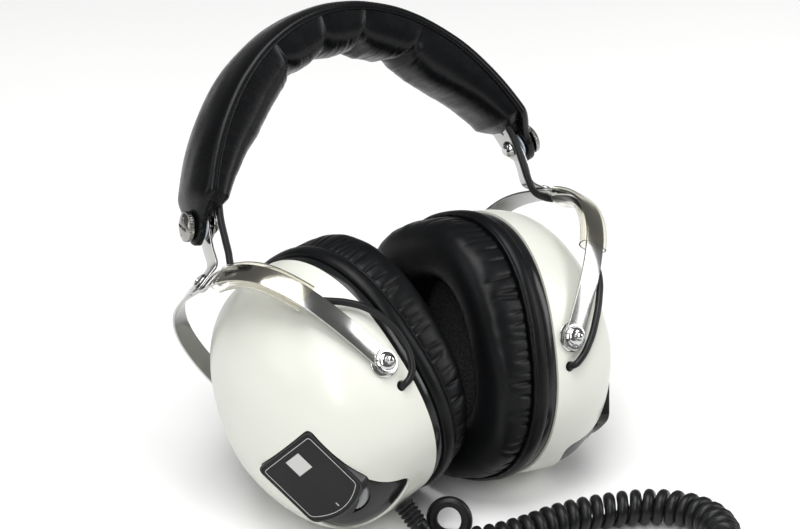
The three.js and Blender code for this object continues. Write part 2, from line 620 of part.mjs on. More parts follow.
const BAFFLE_X = RIM.x - GAP - BAFFLE.thickness;
const FLANGE_X = BAFFLE_X - GAP;
const CUSHION_X = FLANGE_X - FLANGE.thickness - GAP;

// A ring around the ear opening. Each section point is [how far inside the rim, how far from `x`].
function ovalRing(x, section) {
  return loft(section.map(([inside, away]) => oval(x - away, RIM.z, RIM.halfY - inside, RIM.halfZ - inside)), true);
}

function flange() {
  const { thickness, proud, lip } = FLANGE;
  return ovalRing(FLANGE_X, [
    [lip, 0], [2, 0], [0, 0.8], [-proud, thickness * 0.45], [-proud * 0.6, thickness * 0.8], [1.2, thickness],
    [lip, thickness],
  ]);
}

function cushionRing(across, away) {
  // across goes from 0 at the outer wall to 1 at the edge of the ear opening.
  const halfY = THREE.MathUtils.lerp(RIM.halfY - CUSHION.inset, CUSHION.holeHalfY, across);
  const halfZ = THREE.MathUtils.lerp(RIM.halfZ - CUSHION.inset, CUSHION.holeHalfZ, across);
  return oval(CUSHION_X - away, RIM.z, halfY, halfZ).map((p) => {
    const low = THREE.MathUtils.clamp((RIM.z + RIM.halfZ - p.z) / (2 * RIM.halfZ), 0, 1);
    p.x = CUSHION_X + (p.x - CUSHION_X) * (1 - CUSHION.squash * low ** CUSHION.squashPower);
    return p;
  });
}

function cushion() {
  const t = CUSHION.thickness;
  return loft([
    [0.1, 0], [0.01, t * 0.12], [0, t * 0.5], [0.06, t * 0.8], [0.24, t * 0.98], [0.5, t],
    [0.76, t * 0.9], [0.95, t * 0.6], [1, t * 0.25], [0.92, 0],
  ].map(([across, away]) => cushionRing(across, away)), true);
}

const DRIVER_ORIGIN = vec(RIM.x + GAP, 0, RIM.z);
const OUT = vec(1, 0, 0);

function driverBasket() {
  const { radius: r, depth: d } = DRIVER;
  return turned([
    [0, d], [14, d], [r - 2, 2], [r + 4, 1.6], [r + 4, 0], [r - 1.5, 0], [13, d - 1.5], [0, d - 1.5],
  ], DRIVER_ORIGIN, OUT, 16);
}

function driverMagnet() {
  const base = DRIVER.depth + GAP;
  const { magnetRadius: r, magnetDepth: d } = DRIVER;
  return turned([[0, base], [r - 1, base], [r, base + 1], [r, base + d - 1], [r - 1, base + d], [0, base + d]],
    DRIVER_ORIGIN, OUT, 14);
}

function driverCone() {
  const r = DRIVER.radius - 1;
  return turned([
    [0, 8.6], [6, 7.2], [r - 4, -0.8], [r, -0.4], [r, -1.3], [r - 4, -1.8], [6, 6], [0, 7.4],
  ], DRIVER_ORIGIN, OUT, 16);
}

function foamScreen() {
  return ovalPlate(FOAM.halfY, FOAM.halfZ, FOAM.thickness, BAFFLE_X - GAP - FOAM.thickness);
}

function pivotBush(end) {
  const [inner, outer] = [PIVOT.hole + 0.1, PIVOT.bushRadius];
  const [from, to] = [PIVOT.bushFrom, PIVOT.bushTo];
  return turned([[inner, from], [outer, from], [outer, from + 0.3], [outer - 1, to], [inner, to], [inner, from]],
    vec(0, 0, 0), vec(0, end, 0), 12);
}

function pivotScrew(end) {
  const head = YOKE.halfWidth + YOKE.thickness / 2 + GAP;
  const { shaft, headRadius: r, ball } = PIVOT;
  return turned([
    [0, PIVOT.shaftFrom], [shaft, PIVOT.shaftFrom], [shaft, head], [r, head], [r, head + 1], [r - 1, head + 2.2],
    [ball, head + 2.4], [ball, head + 3.2], [ball * 0.7, head + 4.2], [0, head + 4.6],
  ], vec(0, 0, 0), vec(0, end, 0));
}

// Assembly.
const leaning = new THREE.Group();
leaning.name = 'leaning_frame';
leaning.rotation.x = LEAN;

leaning.add(named('headband_cover', bandCover(), leatherette));
leaning.add(named('headband_pad', bandPad(), leatherette));
leaning.add(named('headband_spring', springStrip(), steel));

function sideOnly(side, geometry) {
  return side.sign > 0 ? geometry : mirrorX(geometry);
}

for (const side of SIDES) {
  const put = (group, name, geometry, finish) => group.add(named(`${side.name}_${name}`, sideOnly(side, geometry), finish));
  put(leaning, 'stem', stemSolid(), chrome);
  put(leaning, 'adjuster_screw', adjusterScrew(), chrome);
  put(leaning, 'adjuster_washer', adjusterWasher(), nylon);
  put(leaning, 'adjuster_nut', adjusterNut(), chrome);

  const yoke = new THREE.Group();
  yoke.name = `${side.name}_yoke_frame`;
  yoke.position.set(side.sign * YOKE.pivotX, 0, YOKE.pivotZ);
  yoke.rotation.set(0, side.sign * YOKE_ANGLE, rad(side.yaw));
  leaning.add(yoke);
  put(yoke, 'yoke', yokeStrip(), chrome);
  put(yoke, 'foot_rivet', footRivet(), chrome);
  put(yoke, 'cable_sleeve', sleeve(), clearPvc);
  put(yoke, 'cable_lower', lowerCable(side), rubber);
  put(leaning, 'cable_upper', upperCable(side), rubber);

  const cup = new THREE.Group();
  cup.name = `${side.name}_cup_frame`;
  cup.rotation.y = side.sign * (rad(side.tilt) - YOKE_ANGLE);
  yoke.add(cup);
  put(cup, 'shell', shellSolid(), whitePlastic);
  put(cup, 'baffle', ovalPlate(RIM.halfY - BAFFLE.recess, RIM.halfZ - BAFFLE.recess, BAFFLE.thickness, BAFFLE_X,
    BAFFLE.holeRadius), blackPlastic);
  put(cup, 'cushion_flange', flange(), leatherette);
  put(cup, 'cushion', cushion(), leatherette);
  put(cup, 'driver_basket', driverBasket(), steel);
  put(cup, 'driver_magnet', driverMagnet(), steel);
  put(cup, 'driver_cone', driverCone(), paperCone);
  put(cup, 'foam_screen', foamScreen(), foam);
  put(cup, 'volume_housing', volumeHousing(), blackPlastic);
  put(cup, 'label_plate', labelPlate(), plate);
  put(cup, 'volume_wheel', volumeWheel(), blackPlastic);
  put(cup, 'potentiometer', potentiometer(), steel);
  [['rear', -1], ['front', 1]].forEach(([place, end]) => {
    put(cup, `${place}_pivot_bush`, pivotBush(end), chrome);
    put(cup, `${place}_pivot_screw`, pivotScrew(end), chrome);
  });
}

const headphones = new THREE.Group();
headphones.add(leaning);

// Stands the assembly with its lowest point on z = 0 and the middle of its box on the origin.
headphones.updateMatrixWorld(true);
const size = new THREE.Box3().setFromObject(leaning, true);
leaning.position.set(-(size.min.x + size.max.x) / 2, -(size.min.y + size.max.y) / 2, -size.min.z);
headphones.updateMatrixWorld(true);

// The cord leaves the left cup through a strain relief that points down and forward.
const cord = new THREE.Group();
cord.name = 'cord_frame';
cord.rotation.z = rad(CORD.turn);
cord.updateMatrixWorld(true);
headphones.add(cord);
const leftCup = headphones.getObjectByName('left_cup_frame');
const cordStart = cord.worldToLocal(leftCup.localToWorld(CORD_ENTRY.clone().multiply(vec(-1, 1, 1))));
const cordDirection = vec(0.55, -0.2, -0.8).normalize();
const ribs = steps(2, 8, 2).flatMap((h) => [[3.4, h], [4.1, h + 0.5], [4.1, h + 1.4], [3.4, h + 1.9]]);
cord.add(named('strain_relief', turned([[0, 0.8], [RELIEF.base, 0.8], ...ribs, [RELIEF.tip, RELIEF.length],
  [0, RELIEF.length]], cordStart, cordDirection, 12), rubber));
const reliefEnd = cordStart.clone().addScaledVector(cordDirection, RELIEF.length);
cord.add(named('cord_lead', leadSolid(reliefEnd, cordDirection), rubber));
cord.add(named('cord_coil', coilSolid(), rubber));
cord.add(named('cord_tail', tailSolid(), rubber));
cord.add(named('plug_grip', plugGrip(), rubber));
cord.add(named('plug_jack', plugJack(), chrome));

export default headphones;
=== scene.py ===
import json
from math import atan2, cos, degrees, exp, hypot, pi, radians, sin, sqrt, tau

import bpy
import bmesh
from mathutils import Matrix, Vector, noise


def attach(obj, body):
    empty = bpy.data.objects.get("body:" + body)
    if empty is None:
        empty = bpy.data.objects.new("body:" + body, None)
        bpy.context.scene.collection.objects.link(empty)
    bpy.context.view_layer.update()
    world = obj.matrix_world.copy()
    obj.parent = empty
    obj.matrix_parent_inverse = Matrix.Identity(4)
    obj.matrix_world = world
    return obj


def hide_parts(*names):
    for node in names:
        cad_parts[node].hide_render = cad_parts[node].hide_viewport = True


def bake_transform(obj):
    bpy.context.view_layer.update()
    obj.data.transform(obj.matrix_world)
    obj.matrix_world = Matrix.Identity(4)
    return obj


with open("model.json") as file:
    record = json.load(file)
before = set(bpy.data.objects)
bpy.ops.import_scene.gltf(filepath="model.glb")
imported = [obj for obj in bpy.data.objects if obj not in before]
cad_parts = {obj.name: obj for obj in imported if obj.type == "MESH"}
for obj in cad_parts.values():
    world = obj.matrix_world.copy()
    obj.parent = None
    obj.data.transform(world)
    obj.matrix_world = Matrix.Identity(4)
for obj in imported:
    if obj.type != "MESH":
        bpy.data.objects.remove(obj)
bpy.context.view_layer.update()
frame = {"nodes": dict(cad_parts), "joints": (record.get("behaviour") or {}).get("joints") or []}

MM = 0.001
NODES = frame["nodes"]
JOINTS = {joint["name"]: joint for joint in frame["joints"]}
SIDES = {"left": -1, "right": 1}

# Driving sizes of the part, in millimetres and degrees, in each piece's own local frame.
LEAN = -30
GAP = 0.3
BAND = dict(half_width=80, half_height=114.8, centre_z=-45.6, screw_angle=23.4)
COVER = dict(half_width=17, crown=5.2, end_crown=7, edge=1.2, end_angle=19.4, tab_half_width=7.2,
             tab_height=3.6)
PAD = dict(half_width=16.6, depth=15.6, end_angle=26.6, longer=1.7, end_depth=0.44)
SPRING = dict(width=12, thickness=0.9, offset=-3.7, end_angle=20.6)
STEM = dict(width=9.5, thickness=1, offset=-2.5, above=25, straight=3.5, lean=12, lower_lean=1.5)
FOOT = dict(outside=6.2, bend=2.2)
SCREW = dict(head_from=4.9, head_radius=6, head_height=3.2)
YOKE = dict(foot_x=78.6, foot_z=-22.6, pivot_x=41, pivot_z=-76, half_width=48.6, width=8.6, thickness=1.1,
            squareness=3)
SLEEVE = dict(first=28, last=82, half_wide=7, above=1.7, below=5.3, wall=0.5)
TILT = {"left": 17, "right": 5.7}
RIM = dict(x=-8, z=0.5, half_y=46.9, half_z=54, squareness=2.39)
SHELL = dict(depth=46.5, wall=2.2, drop=9.5, side_curve=3.3, cap_curve=2.1, cap_squareness=1.65)
BAFFLE = dict(thickness=4.2, recess=0.6, hole=29)
FLANGE = dict(thickness=6.6, proud=1.2, lip=9)
CUSHION = dict(thickness=19, inset=1.2, hole_y=21, hole_z=28, squash=0.5, squash_power=2.2)
PIVOT = dict(head_radius=4.3, ball=1.9, bush_radius=6, bush_from=47, bush_to=47.75)
CABLE = dict(radius=1.45, under=-2.35)
HOUSING = dict(centre=(34.06, -11.05, -23.8), out=(0.96, -0.2, -0.2), up=(0.219, 0.081, 0.972), depth=13.5,
               half_width=18.6, top=15.8, corner_y=-15, bottom=-19.6, corner=3, plate_inset=1.1, plate=1)
APRON = dict(inset=0.7, thickness=2.6, outline=((4.5, -28.5), (18, 5), (46, 5), (46, -28.5)), top=-24)
WHEEL = dict(y=-4, z=-11.5, radius=11, first=-9, last=-4, teeth=44)
CORD = dict(turn=-29, wire=2.3, coil=7.5, pitch=5.3)
RELIEF = dict(length=14, base=4.2, tip=3)
PLUG = dict(x=86, y=-124, z=6.4, grip_radius=6.2, grip_length=34, jack_radius=3.15, jack_length=31)


def axis(joint):
    return Vector(JOINTS[joint]["axis"]).normalized()


def place(joint):
    return Vector(JOINTS[joint]["pos_m"])


def turn(angle, about):
    return Matrix.Rotation(radians(angle), 4, about)


# Local frames, in millimetres. Pieces are drawn for the right side and mirrored for the left.
YOKE_HEIGHT = hypot(YOKE["foot_x"] - YOKE["pivot_x"], YOKE["foot_z"] - YOKE["pivot_z"])
YOKE_ANGLE = degrees(atan2(YOKE["foot_x"] - YOKE["pivot_x"], YOKE["foot_z"] - YOKE["pivot_z"]))
PIVOTS_MIDDLE = (place("left_tilt") + place("right_tilt")) / 2
LEANING = (Matrix.Translation(PIVOTS_MIDDLE) @ turn(LEAN, "X") @ Matrix.Scale(MM, 4)
           @ Matrix.Translation((0, 0, -YOKE["pivot_z"])))


def yoke_frame(side):
    y = -axis(f"{side}_tilt")
    z = axis(f"{side}_yaw")
    turned = Matrix((y.cross(z), y, z)).transposed().to_4x4()
    turned.translation = place(f"{side}_tilt")
    return turned @ Matrix.Scale(MM, 4)


def cup_frame(side):
    return yoke_frame(side) @ turn(SIDES[side] * (TILT[side] - YOKE_ANGLE), "Y")


def side_frame(frame_matrix, side):
    """The frame that takes a piece drawn for the right side to the given side."""
    return frame_matrix @ Matrix.Scale(SIDES[side], 4, (1, 0, 0))


CUP = {side: side_frame(cup_frame(side), side) for side in SIDES}
YOKED = {side: side_frame(yoke_frame(side), side) for side in SIDES}
STEMMED = {side: side_frame(LEANING, side) for side in SIDES}
CORD_FRAME = turn(CORD["turn"], "Z") @ Matrix.Scale(MM, 4)


# Camera: what it looks at is given in the leaning frame's millimetres, from the line of the adjuster screws.
def add_camera():
    azimuth, elevation, roll = radians(-29.004), radians(25.79), radians(-1.4715)
    target = LEANING.to_translation() + Vector((16.37, 0, -40.01)) * MM
    back = Vector((sin(azimuth) * cos(elevation), -cos(azimuth) * cos(elevation), sin(elevation)))
    right = Vector((cos(azimuth), sin(azimuth), 0))
    up = back.cross(right)
    right, up = cos(roll) * right + sin(roll) * up, cos(roll) * up - sin(roll) * right
    data = bpy.data.cameras.new("camera")
    data.sensor_width = 36
    data.lens = 181.46
    data.clip_end = 20
    camera = bpy.data.objects.new("camera", data)
    camera.matrix_world = (Matrix.Translation(target + back * 1.6502)
                           @ Matrix((right, up, back)).transposed().to_4x4())
    bpy.context.scene.collection.objects.link(camera)
    bpy.context.scene.camera = camera


# Materials.
class Nodes:
    """A short way to write a material's node tree."""

    def __init__(self, name):
        self.material = bpy.data.materials.new(name)
        self.material.use_nodes = True
        self.tree = self.material.node_tree
        self.shader = self.tree.nodes["Principled BSDF"]
        self.object_space = self.add("ShaderNodeTexCoord").outputs["Object"]

    def add(self, kind, **settings):
        node = self.tree.nodes.new(kind)
        for key, value in settings.items():
            setattr(node, key, value)
        return node

    def link(self, source, target):
        self.tree.links.new(source, target)

    def noise(self, scale, detail=3, roughness=0.5, vector=None):
        node = self.add("ShaderNodeTexNoise")
        node.inputs["Scale"].default_value = scale
        node.inputs["Detail"].default_value = detail
        node.inputs["Roughness"].default_value = roughness
        self.link(vector or self.object_space, node.inputs["Vector"])
        return node.outputs["Fac"]

    def cells(self, scale, feature="DISTANCE_TO_EDGE", vector=None):
        node = self.add("ShaderNodeTexVoronoi", feature=feature)
        node.inputs["Scale"].default_value = scale
        self.link(vector or self.object_space, node.inputs["Vector"])
        return node.outputs["Distance"]

    def stretched(self, scale):
        node = self.add("ShaderNodeMapping")
        node.inputs["Scale"].default_value = scale
        self.link(self.object_space, node.inputs["Vector"])
        return node.outputs["Vector"]

    def between(self, value, low, high, start=0.0, stop=1.0):
        """Maps value from start..stop to low..high."""
        node = self.add("ShaderNodeMapRange")
        self.link(value, node.inputs["Value"])
        for name, number in zip(("From Min", "From Max", "To Min", "To Max"), (start, stop, low, high)):
            node.inputs[name].default_value = number
        return node.outputs["Result"]

    def colours(self, value, first, second, start=0.35, stop=0.65):
        ramp = self.add("ShaderNodeValToRGB")
        ramp.color_ramp.elements[0].position = start
        ramp.color_ramp.elements[1].position = stop
        ramp.color_ramp.elements[0].color = (*first, 1)
        ramp.color_ramp.elements[1].color = (*second, 1)
        self.link(value, ramp.inputs["Fac"])
        return ramp.outputs["Color"]

    def bump(self, height, strength, distance, onto=None):
        node = self.add("ShaderNodeBump")
        node.inputs["Strength"].default_value = strength
        node.inputs["Distance"].default_value = distance
        self.link(height, node.inputs["Height"])
        if onto:
            self.link(onto, node.inputs["Normal"])
        return node.outputs["Normal"]

    def finish(self, colour=None, roughness=None, normal=None, **uniform):
        for source, name in ((colour, "Base Color"), (roughness, "Roughness"), (normal, "Normal")):
            if source is not None:
                self.link(source, self.shader.inputs[name])
        for name, value in uniform.items():
            self.shader.inputs[name.replace("_", " ")].default_value = value
        return self.material


def leatherette(name, low, high, grain, wrinkled, shine, specular):
    m = Nodes(name)
    patches = m.noise(30, 4)
    pores = m.cells(1500)
    creases = m.noise(260, 5, 0.62)
    fine = m.bump(m.between(pores, 0, 1, 0, 0.35), grain, 0.00012)
    both = m.bump(creases, wrinkled, 0.0006, fine)
    return m.finish(m.colours(patches, low, high), m.between(creases, shine - 0.03, shine + 0.07, 0.3, 0.7),
                    both, Specular_IOR_Level=specular)


def moulded(name, low, high, shine, grain=0.05, scale=900, coat=0.0, specular=0.5):
    m = Nodes(name)
    patches = m.noise(18, 3)
    speckle = m.noise(scale, 2)
    normal = m.bump(speckle, grain, 0.0001)
    return m.finish(m.colours(patches, low, high),
                    m.between(m.noise(60, 4), shine - 0.05, shine + 0.08, 0.3, 0.7),
                    normal, Coat_Weight=coat, Coat_Roughness=0.12, Specular_IOR_Level=specular)


def plated(name, tint, shine, brush=(1, 1, 1), scratch=0.04):
    m = Nodes(name)
    scratches = m.noise(900, 3, 0.6, m.stretched(brush))
    haze = m.noise(45, 4)
    return m.finish(m.colours(haze, [0.93 * c for c in tint], tint),
                    m.between(haze, shine, shine + 0.12, 0.35, 0.75), m.bump(scratches, scratch, 0.00004),
                    Metallic=1.0)


def clear_sleeve():
    m = Nodes("clear_pvc")
    haze = m.noise(70, 4)
    return m.finish(m.colours(haze, (0.96, 0.94, 0.86), (0.99, 0.98, 0.93)), m.between(haze, 0.03, 0.14),
                    m.bump(haze, 0.06, 0.0006), Transmission_Weight=1.0, IOR=1.3)


def foam_material():
    m = Nodes("foam")
    holes = m.cells(900, "F1")
    return m.finish(m.colours(holes, (0.004, 0.004, 0.004), (0.03, 0.03, 0.03), 0.1, 0.6), None,
                    m.bump(holes, 0.8, 0.0006), Roughness=1.0)


LEATHER = leatherette("band_leatherette", (0.0027, 0.0029, 0.0033), (0.0043, 0.0046, 0.0053), 0.1, 0.04,
                      0.25, 0.17)
SOFT_LEATHER = leatherette("cushion_leatherette", (0.0027, 0.0029, 0.0033), (0.005, 0.0053, 0.006), 0.16,
                           0.1, 0.34, 0.14)
WHITE = moulded("shell_plastic", (0.605, 0.61, 0.55), (0.625, 0.63, 0.575), 0.34, 0.03, coat=0.2)
BLACK = moulded("black_plastic", (0.006, 0.0065, 0.0068), (0.009, 0.0095, 0.0098), 0.2, 0.05, specular=0.28)
SATIN_BLACK = moulded("grip_plastic", (0.009, 0.009, 0.0095), (0.014, 0.014, 0.0145), 0.42, 0.2,
                      specular=0.35)
PLATE = moulded("plate_plastic", (0.011, 0.0115, 0.0115), (0.014, 0.0145, 0.0145), 0.4, 0.08, specular=0.12)
PRINT = moulded("pale_print", (0.46, 0.46, 0.45), (0.52, 0.52, 0.51), 0.5, 0.05)
GREY_RUBBER = moulded("wheel_rubber", (0.2, 0.205, 0.21), (0.25, 0.255, 0.26), 0.45, 0.1)
RUBBER = moulded("cable_rubber", (0.006, 0.0063, 0.007), (0.0095, 0.0098, 0.0105), 0.34, 0.12, 1600,
                 specular=0.24)
THREAD = moulded("thread", (0.008, 0.008, 0.009), (0.013, 0.013, 0.014), 0.6, 0.3, 3000, specular=0.3)
CHROME = plated("chrome", (0.55, 0.555, 0.555), 0.06)
WORN_CHROME = plated("worn_chrome", (0.34, 0.335, 0.32), 0.15, (1, 6, 6), 0.15)
SATIN_CHROME = plated("satin_chrome", (0.5, 0.5, 0.49), 0.13, (1, 8, 8), 0.06)
STEEL = plated("bare_steel", (0.5, 0.5, 0.49), 0.3, (1, 12, 12), 0.2)
NYLON = moulded("nylon", (0.5, 0.57, 0.67), (0.6, 0.66, 0.75), 0.4, 0.1)
PVC = clear_sleeve()
FOAM = foam_material()
CONE = moulded("paper_cone", (0.012, 0.011, 0.01), (0.02, 0.019, 0.017), 0.8, 0.4, 2400)


# Meshes.
def add_object(name, data, body, material, replaced=()):
    data.materials.append(material)
    piece = bpy.data.objects.new(name, data)
    bpy.context.scene.collection.objects.link(piece)
    if body:
        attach(piece, body)
    if replaced:
        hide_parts(*replaced)
    return piece


def mesh_from(mesh_name, points, faces, matrix, sharp=40):
    data = bpy.data.meshes.new(mesh_name)
    data.from_pydata([matrix @ Vector(p) for p in points], [], faces)
    work = bmesh.new()
    work.from_mesh(data)
    bmesh.ops.remove_doubles(work, verts=work.verts, dist=1e-7)
    bmesh.ops.recalc_face_normals(work, faces=work.faces)
    for face in work.faces:
        face.smooth = True
    for edge in work.edges:
        if len(edge.link_faces) == 2 and edge.calc_face_angle(0) > radians(sharp):
            edge.smooth = False
    work.to_mesh(data)
    work.free()
    return data


def loft_faces(rings, per_ring, loop, caps):
    faces = []
    for i in range(rings if loop else rings - 1):
        here, following = i * per_ring, (i + 1) % rings * per_ring
        for j in range(per_ring):
            k = (j + 1) % per_ring
            faces.append((here + j, here + k, following + k, following + j))
    if caps and not loop:
        faces.append(tuple(range(per_ring)))
        faces.append(tuple(range((rings - 1) * per_ring, rings * per_ring)))
    return faces


def loft(name, rings, matrix, loop=False, caps=True, sharp=40):
    """A mesh through rings of points, closed around each ring."""
    points = [p for ring in rings for p in ring]
    return mesh_from(name, points, loft_faces(len(rings), len(rings[0]), loop, caps), matrix, sharp)


def lathe(name, profile, matrix, segments=64, squash=None, sharp=35):
    """Turns [radius, height] pairs around the matrix's Z axis. squash(angle) scales the radius."""
    rings = []
    for radius, height in profile:
        ring = []
        for j in range(segments):
            angle = tau * j / segments
            r = max(radius, 1e-4) * (squash(angle) if squash else 1)
            ring.append((r * cos(angle), r * sin(angle), height))
        rings.append(ring)
    return loft(name, rings, matrix, sharp=sharp)


def rounded(profile, radius=0.25, steps=3):
    """Rounds the corners of a [radius, height] profile with short arcs."""
    result = [Vector(profile[0])]
    for before, corner, after in zip(profile, profile[1:], profile[2:]):
        before, corner, after = Vector(before), Vector(corner), Vector(after)
        first, last = before - corner, after - corner
        reach = min(radius, first.length * 0.45, last.length * 0.45)
        a, b = corner + first.normalized() * reach, corner + last.normalized() * reach
        for i in range(steps + 1):
            t = i / steps
            result.append(a * (1 - t) ** 2 + corner * 2 * t * (1 - t) + b * t ** 2)
    result.append(Vector(profile[-1]))
    return [tuple(p) for p in result]


def towards(origin, direction, across=None):
    """A frame at origin whose Z points along direction."""
    z = Vector(direction).normalized()
    x = Vector(across) if across else z.orthogonal()
    x = (x - z * x.dot(z)).normalized()
    turned = Matrix((x, z.cross(x), z)).transposed().to_4x4()
    turned.translation = Vector(origin)
    return turned


def signed_power(value, power):
    return (1 if value >= 0 else -1) * abs(value) ** power


def smoothstep(value, start, stop):
    t = min(max((value - start) / (stop - start), 0), 1)
    return t * t * (3 - 2 * t)


def mix(a, b, t):
    return a + (b - a) * t


def spread(start, stop, count):
    return [start + (stop - start) * i / count for i in range(count + 1)]


def oval(x, z, half_y, half_z, count=160, squareness=RIM["squareness"]):
    return [Vector((x, half_y * signed_power(cos(a), 2 / squareness),
                    z + half_z * signed_power(sin(a), 2 / squareness)))
            for a in spread(0, tau, count)[:-1]]


def even_ring(ring):
    """The same closed ring with its points evenly spaced."""
    count = len(ring)
    lengths = [0]
    for a, b in zip(ring, ring[1:] + ring[:1]):
        lengths.append(lengths[-1] + (b - a).length)
    result, i = [], 0
    for target in spread(0, lengths[-1], count)[:-1]:
        while lengths[i + 1] < target:
            i += 1
        t = (target - lengths[i]) / max(lengths[i + 1] - lengths[i], 1e-9)
        result.append(ring[i].lerp(ring[(i + 1) % count], t))
    return result


def rounded_box_section(half_wide, half_thick, edge):
    """The outline of a strip's section, with rounded edges."""
    points = []
    for quarter, (sx, sy) in enumerate(((1, 1), (-1, 1), (-1, -1), (1, -1))):
        for i in range(4):
            a = pi / 2 * (quarter + i / 3)
            points.append((sx * (half_wide - edge) + edge * cos(a), sy * (half_thick - edge) + edge * sin(a)))
    return points


def strip(name, path, width, thickness, matrix, taper=None):
    """A flat strip that follows a path in the XZ or YZ plane; `path` holds (point, across, outward)."""
    rings = []
    for i, (point, across, outward) in enumerate(path):
        half = width / 2 * (taper(i) if taper else 1)
        rings.append([point + across * w + outward * t
                      for w, t in rounded_box_section(max(half, 0.3), thickness / 2, 0.22)])
    return loft(name, rings, matrix, sharp=50)


def tube_curve(name, points, radius, matrix, smooth=True, resolution=6):
    curve = bpy.data.curves.new(name, "CURVE")
    curve.dimensions = "3D"
    curve.bevel_depth = radius * MM
    curve.bevel_resolution = 4
    curve.use_fill_caps = True
    curve.resolution_u = resolution
    spline = curve.splines.new("BEZIER" if smooth else "POLY")
    places = [matrix @ Vector(p) for p in points]
    if smooth:
        spline.bezier_points.add(len(places) - 1)
        for knot, position in zip(spline.bezier_points, places):
            knot.co = position
            knot.handle_left_type = knot.handle_right_type = "AUTO"
    else:
        spline.points.add(len(places) - 1)
        for knot, position in zip(spline.points, places):
            knot.co = (*position, 1)
    return curve


def as_mesh(curve):
    holder = bpy.data.objects.new("holder", curve)
    bpy.context.scene.collection.objects.link(holder)
    bpy.context.view_layer.update()
    data = bpy.data.meshes.new_from_object(holder.evaluated_get(bpy.context.evaluated_depsgraph_get()))
    bpy.data.objects.remove(holder)
    data.shade_smooth()
    return data


# Headband.
def band_normal(angle):
    t = radians(angle)
    return Vector((BAND["half_height"] * cos(t), 0, BAND["half_width"] * sin(t))).normalized()


def band_point(angle, offset=0, y=0):
    t = radians(angle)
    on_seam = Vector((BAND["half_width"] * cos(t), y, BAND["centre_z"] + BAND["half_height"] * sin(t)))
    return on_seam + band_normal(angle) * offset


def cover_half_width(near):
    tip = sqrt(min(max(near / 3.2, 0.0), 1))
    return mix(COVER["tab_half_width"] * tip, COVER["half_width"], smoothstep(near, 3.5, 11))


def cover_section(angle):
    near = min(angle, 180 - angle) - COVER["end_angle"]
    half = max(cover_half_width(near), 0.4)
    widen = smoothstep(near, 3.5, 11)
    rise = mix(COVER["end_crown"], COVER["crown"], smoothstep(near, 5, 60))
    crown = mix(COVER["tab_height"] * smoothstep(near, -1.2, 0.7), rise, widen)
    dip = 0.35 * widen * exp(-((near - 13) / 5) ** 2)
    outer = []
    for a in spread(0, pi, 40):
        lift = COVER["edge"] + (crown - COVER["edge"]) * sin(a) ** mix(0.42, 0.85, widen)
        wobble = 0.22 * widen * noise.noise(Vector((angle * 0.11, 2.2 * cos(a), 3.1)))
        outer.append(band_point(angle, lift - dip * sin(a) + wobble, half * cos(a)))
    under = [band_point(angle, 0.1, -half * (1 - t)) for t in (0.02, 0.5)]
    return outer + under + [band_point(angle, 0.1, half * (1 - t)) for t in (1, 0.5, 0.02)]


def headband_cover():
    end = COVER["end_angle"]
    angles = ([end + 0.02, end + 0.15, end + 0.4] + spread(end + 0.8, end + 14, 26)
              + spread(end + 15, 165 - end, 130) + spread(166 - end, 180 - end - 0.8, 26)
              + [180 - end - 0.4, 180 - end - 0.15, 180 - end - 0.02])
    data = loft("headband_cover", [cover_section(a) for a in angles], LEANING, sharp=55)
    return add_object("headband_cover_skin", data, "headband", LEATHER, ["headband_cover"])


GATHERS = ((112, 1.0), (96.5, 0.9), (81, 1.0), (64, 0.85))


def gather(angle, across, before, after):
    """How far the pad's face is drawn in at an angle and a place across the band from -1 to 1."""
    drawn = 0
    for place_at, strength in GATHERS:
        off = angle - place_at - 2.2 * across - 0.6 * sin(4 * across + place_at)
        width = before if off < 0 else after
        drawn += strength * exp(-abs(off / width) ** 1.2)
    return drawn


def pad_section(angle):
    """The pad's outline across the band; "longer" draws out the end at the high angles."""
    near = min(angle, 180 + PAD["longer"] - angle) - PAD["end_angle"]
    fill = sqrt(min(max(near / 4, 0.3), 1))
    depth = PAD["depth"] * mix(PAD["end_depth"], 1, smoothstep(near, -2, 27))
    ring = []
    for a in spread(0, tau, 64)[:-1]:
        across = signed_power(cos(a), 0.72)
        y = PAD["half_width"] * fill * across
        r = 0
        if sin(a) < 0:
            fold = gather(angle, across, 2.2, 0.9)
            hollow = gather(angle, across, 5.5, 4.5)
            wrinkle = 0.45 * noise.noise(Vector((angle * 0.22, across * 1.6, 7.7)))
            pulled = noise.noise(Vector((angle * 0.9, across * 1.3, 1.3))) * (0.12 + 0.5 * hollow)
            shape = signed_power(sin(a), 0.62)
            r = depth * fill * shape * (1.04 - 0.2 * fold * abs(sin(a)) ** 0.5 - 0.13 * hollow)
            r += (wrinkle + pulled) * abs(sin(a))
            y *= 1 - 0.05 * fold
        ring.append(band_point(angle, -GAP + r, y))
    return ring


def headband_pad():
    end, last = PAD["end_angle"], 180 + PAD["longer"] - PAD["end_angle"]
    angles = ([end, end + 0.3] + spread(end + 0.8, end + 6, 14) + spread(end + 6.6, last - 6.6, 330)
              + spread(last - 6, last - 0.8, 14) + [last - 0.3, last])
    data = loft("headband_pad", [pad_section(a) for a in angles], LEANING, sharp=70)
    pad = add_object("headband_pad_skin", data, "headband", LEATHER, ["headband_pad"])
    return pad


def band_piping(edge):
    """The welt that joins the cover to the pad along one edge."""
    start = PAD["end_angle"] + 1.2
    points = [band_point(a, 0.15, edge * (cover_half_width(min(a, 180 - a) - COVER["end_angle"]) - 0.1))
              for a in spread(start, 180 - start, 120)]
    curve = tube_curve("piping", points, 0.34, LEANING)
    return add_object(f"band_piping_{'front' if edge > 0 else 'rear'}", curve, "headband",
                      LEATHER)


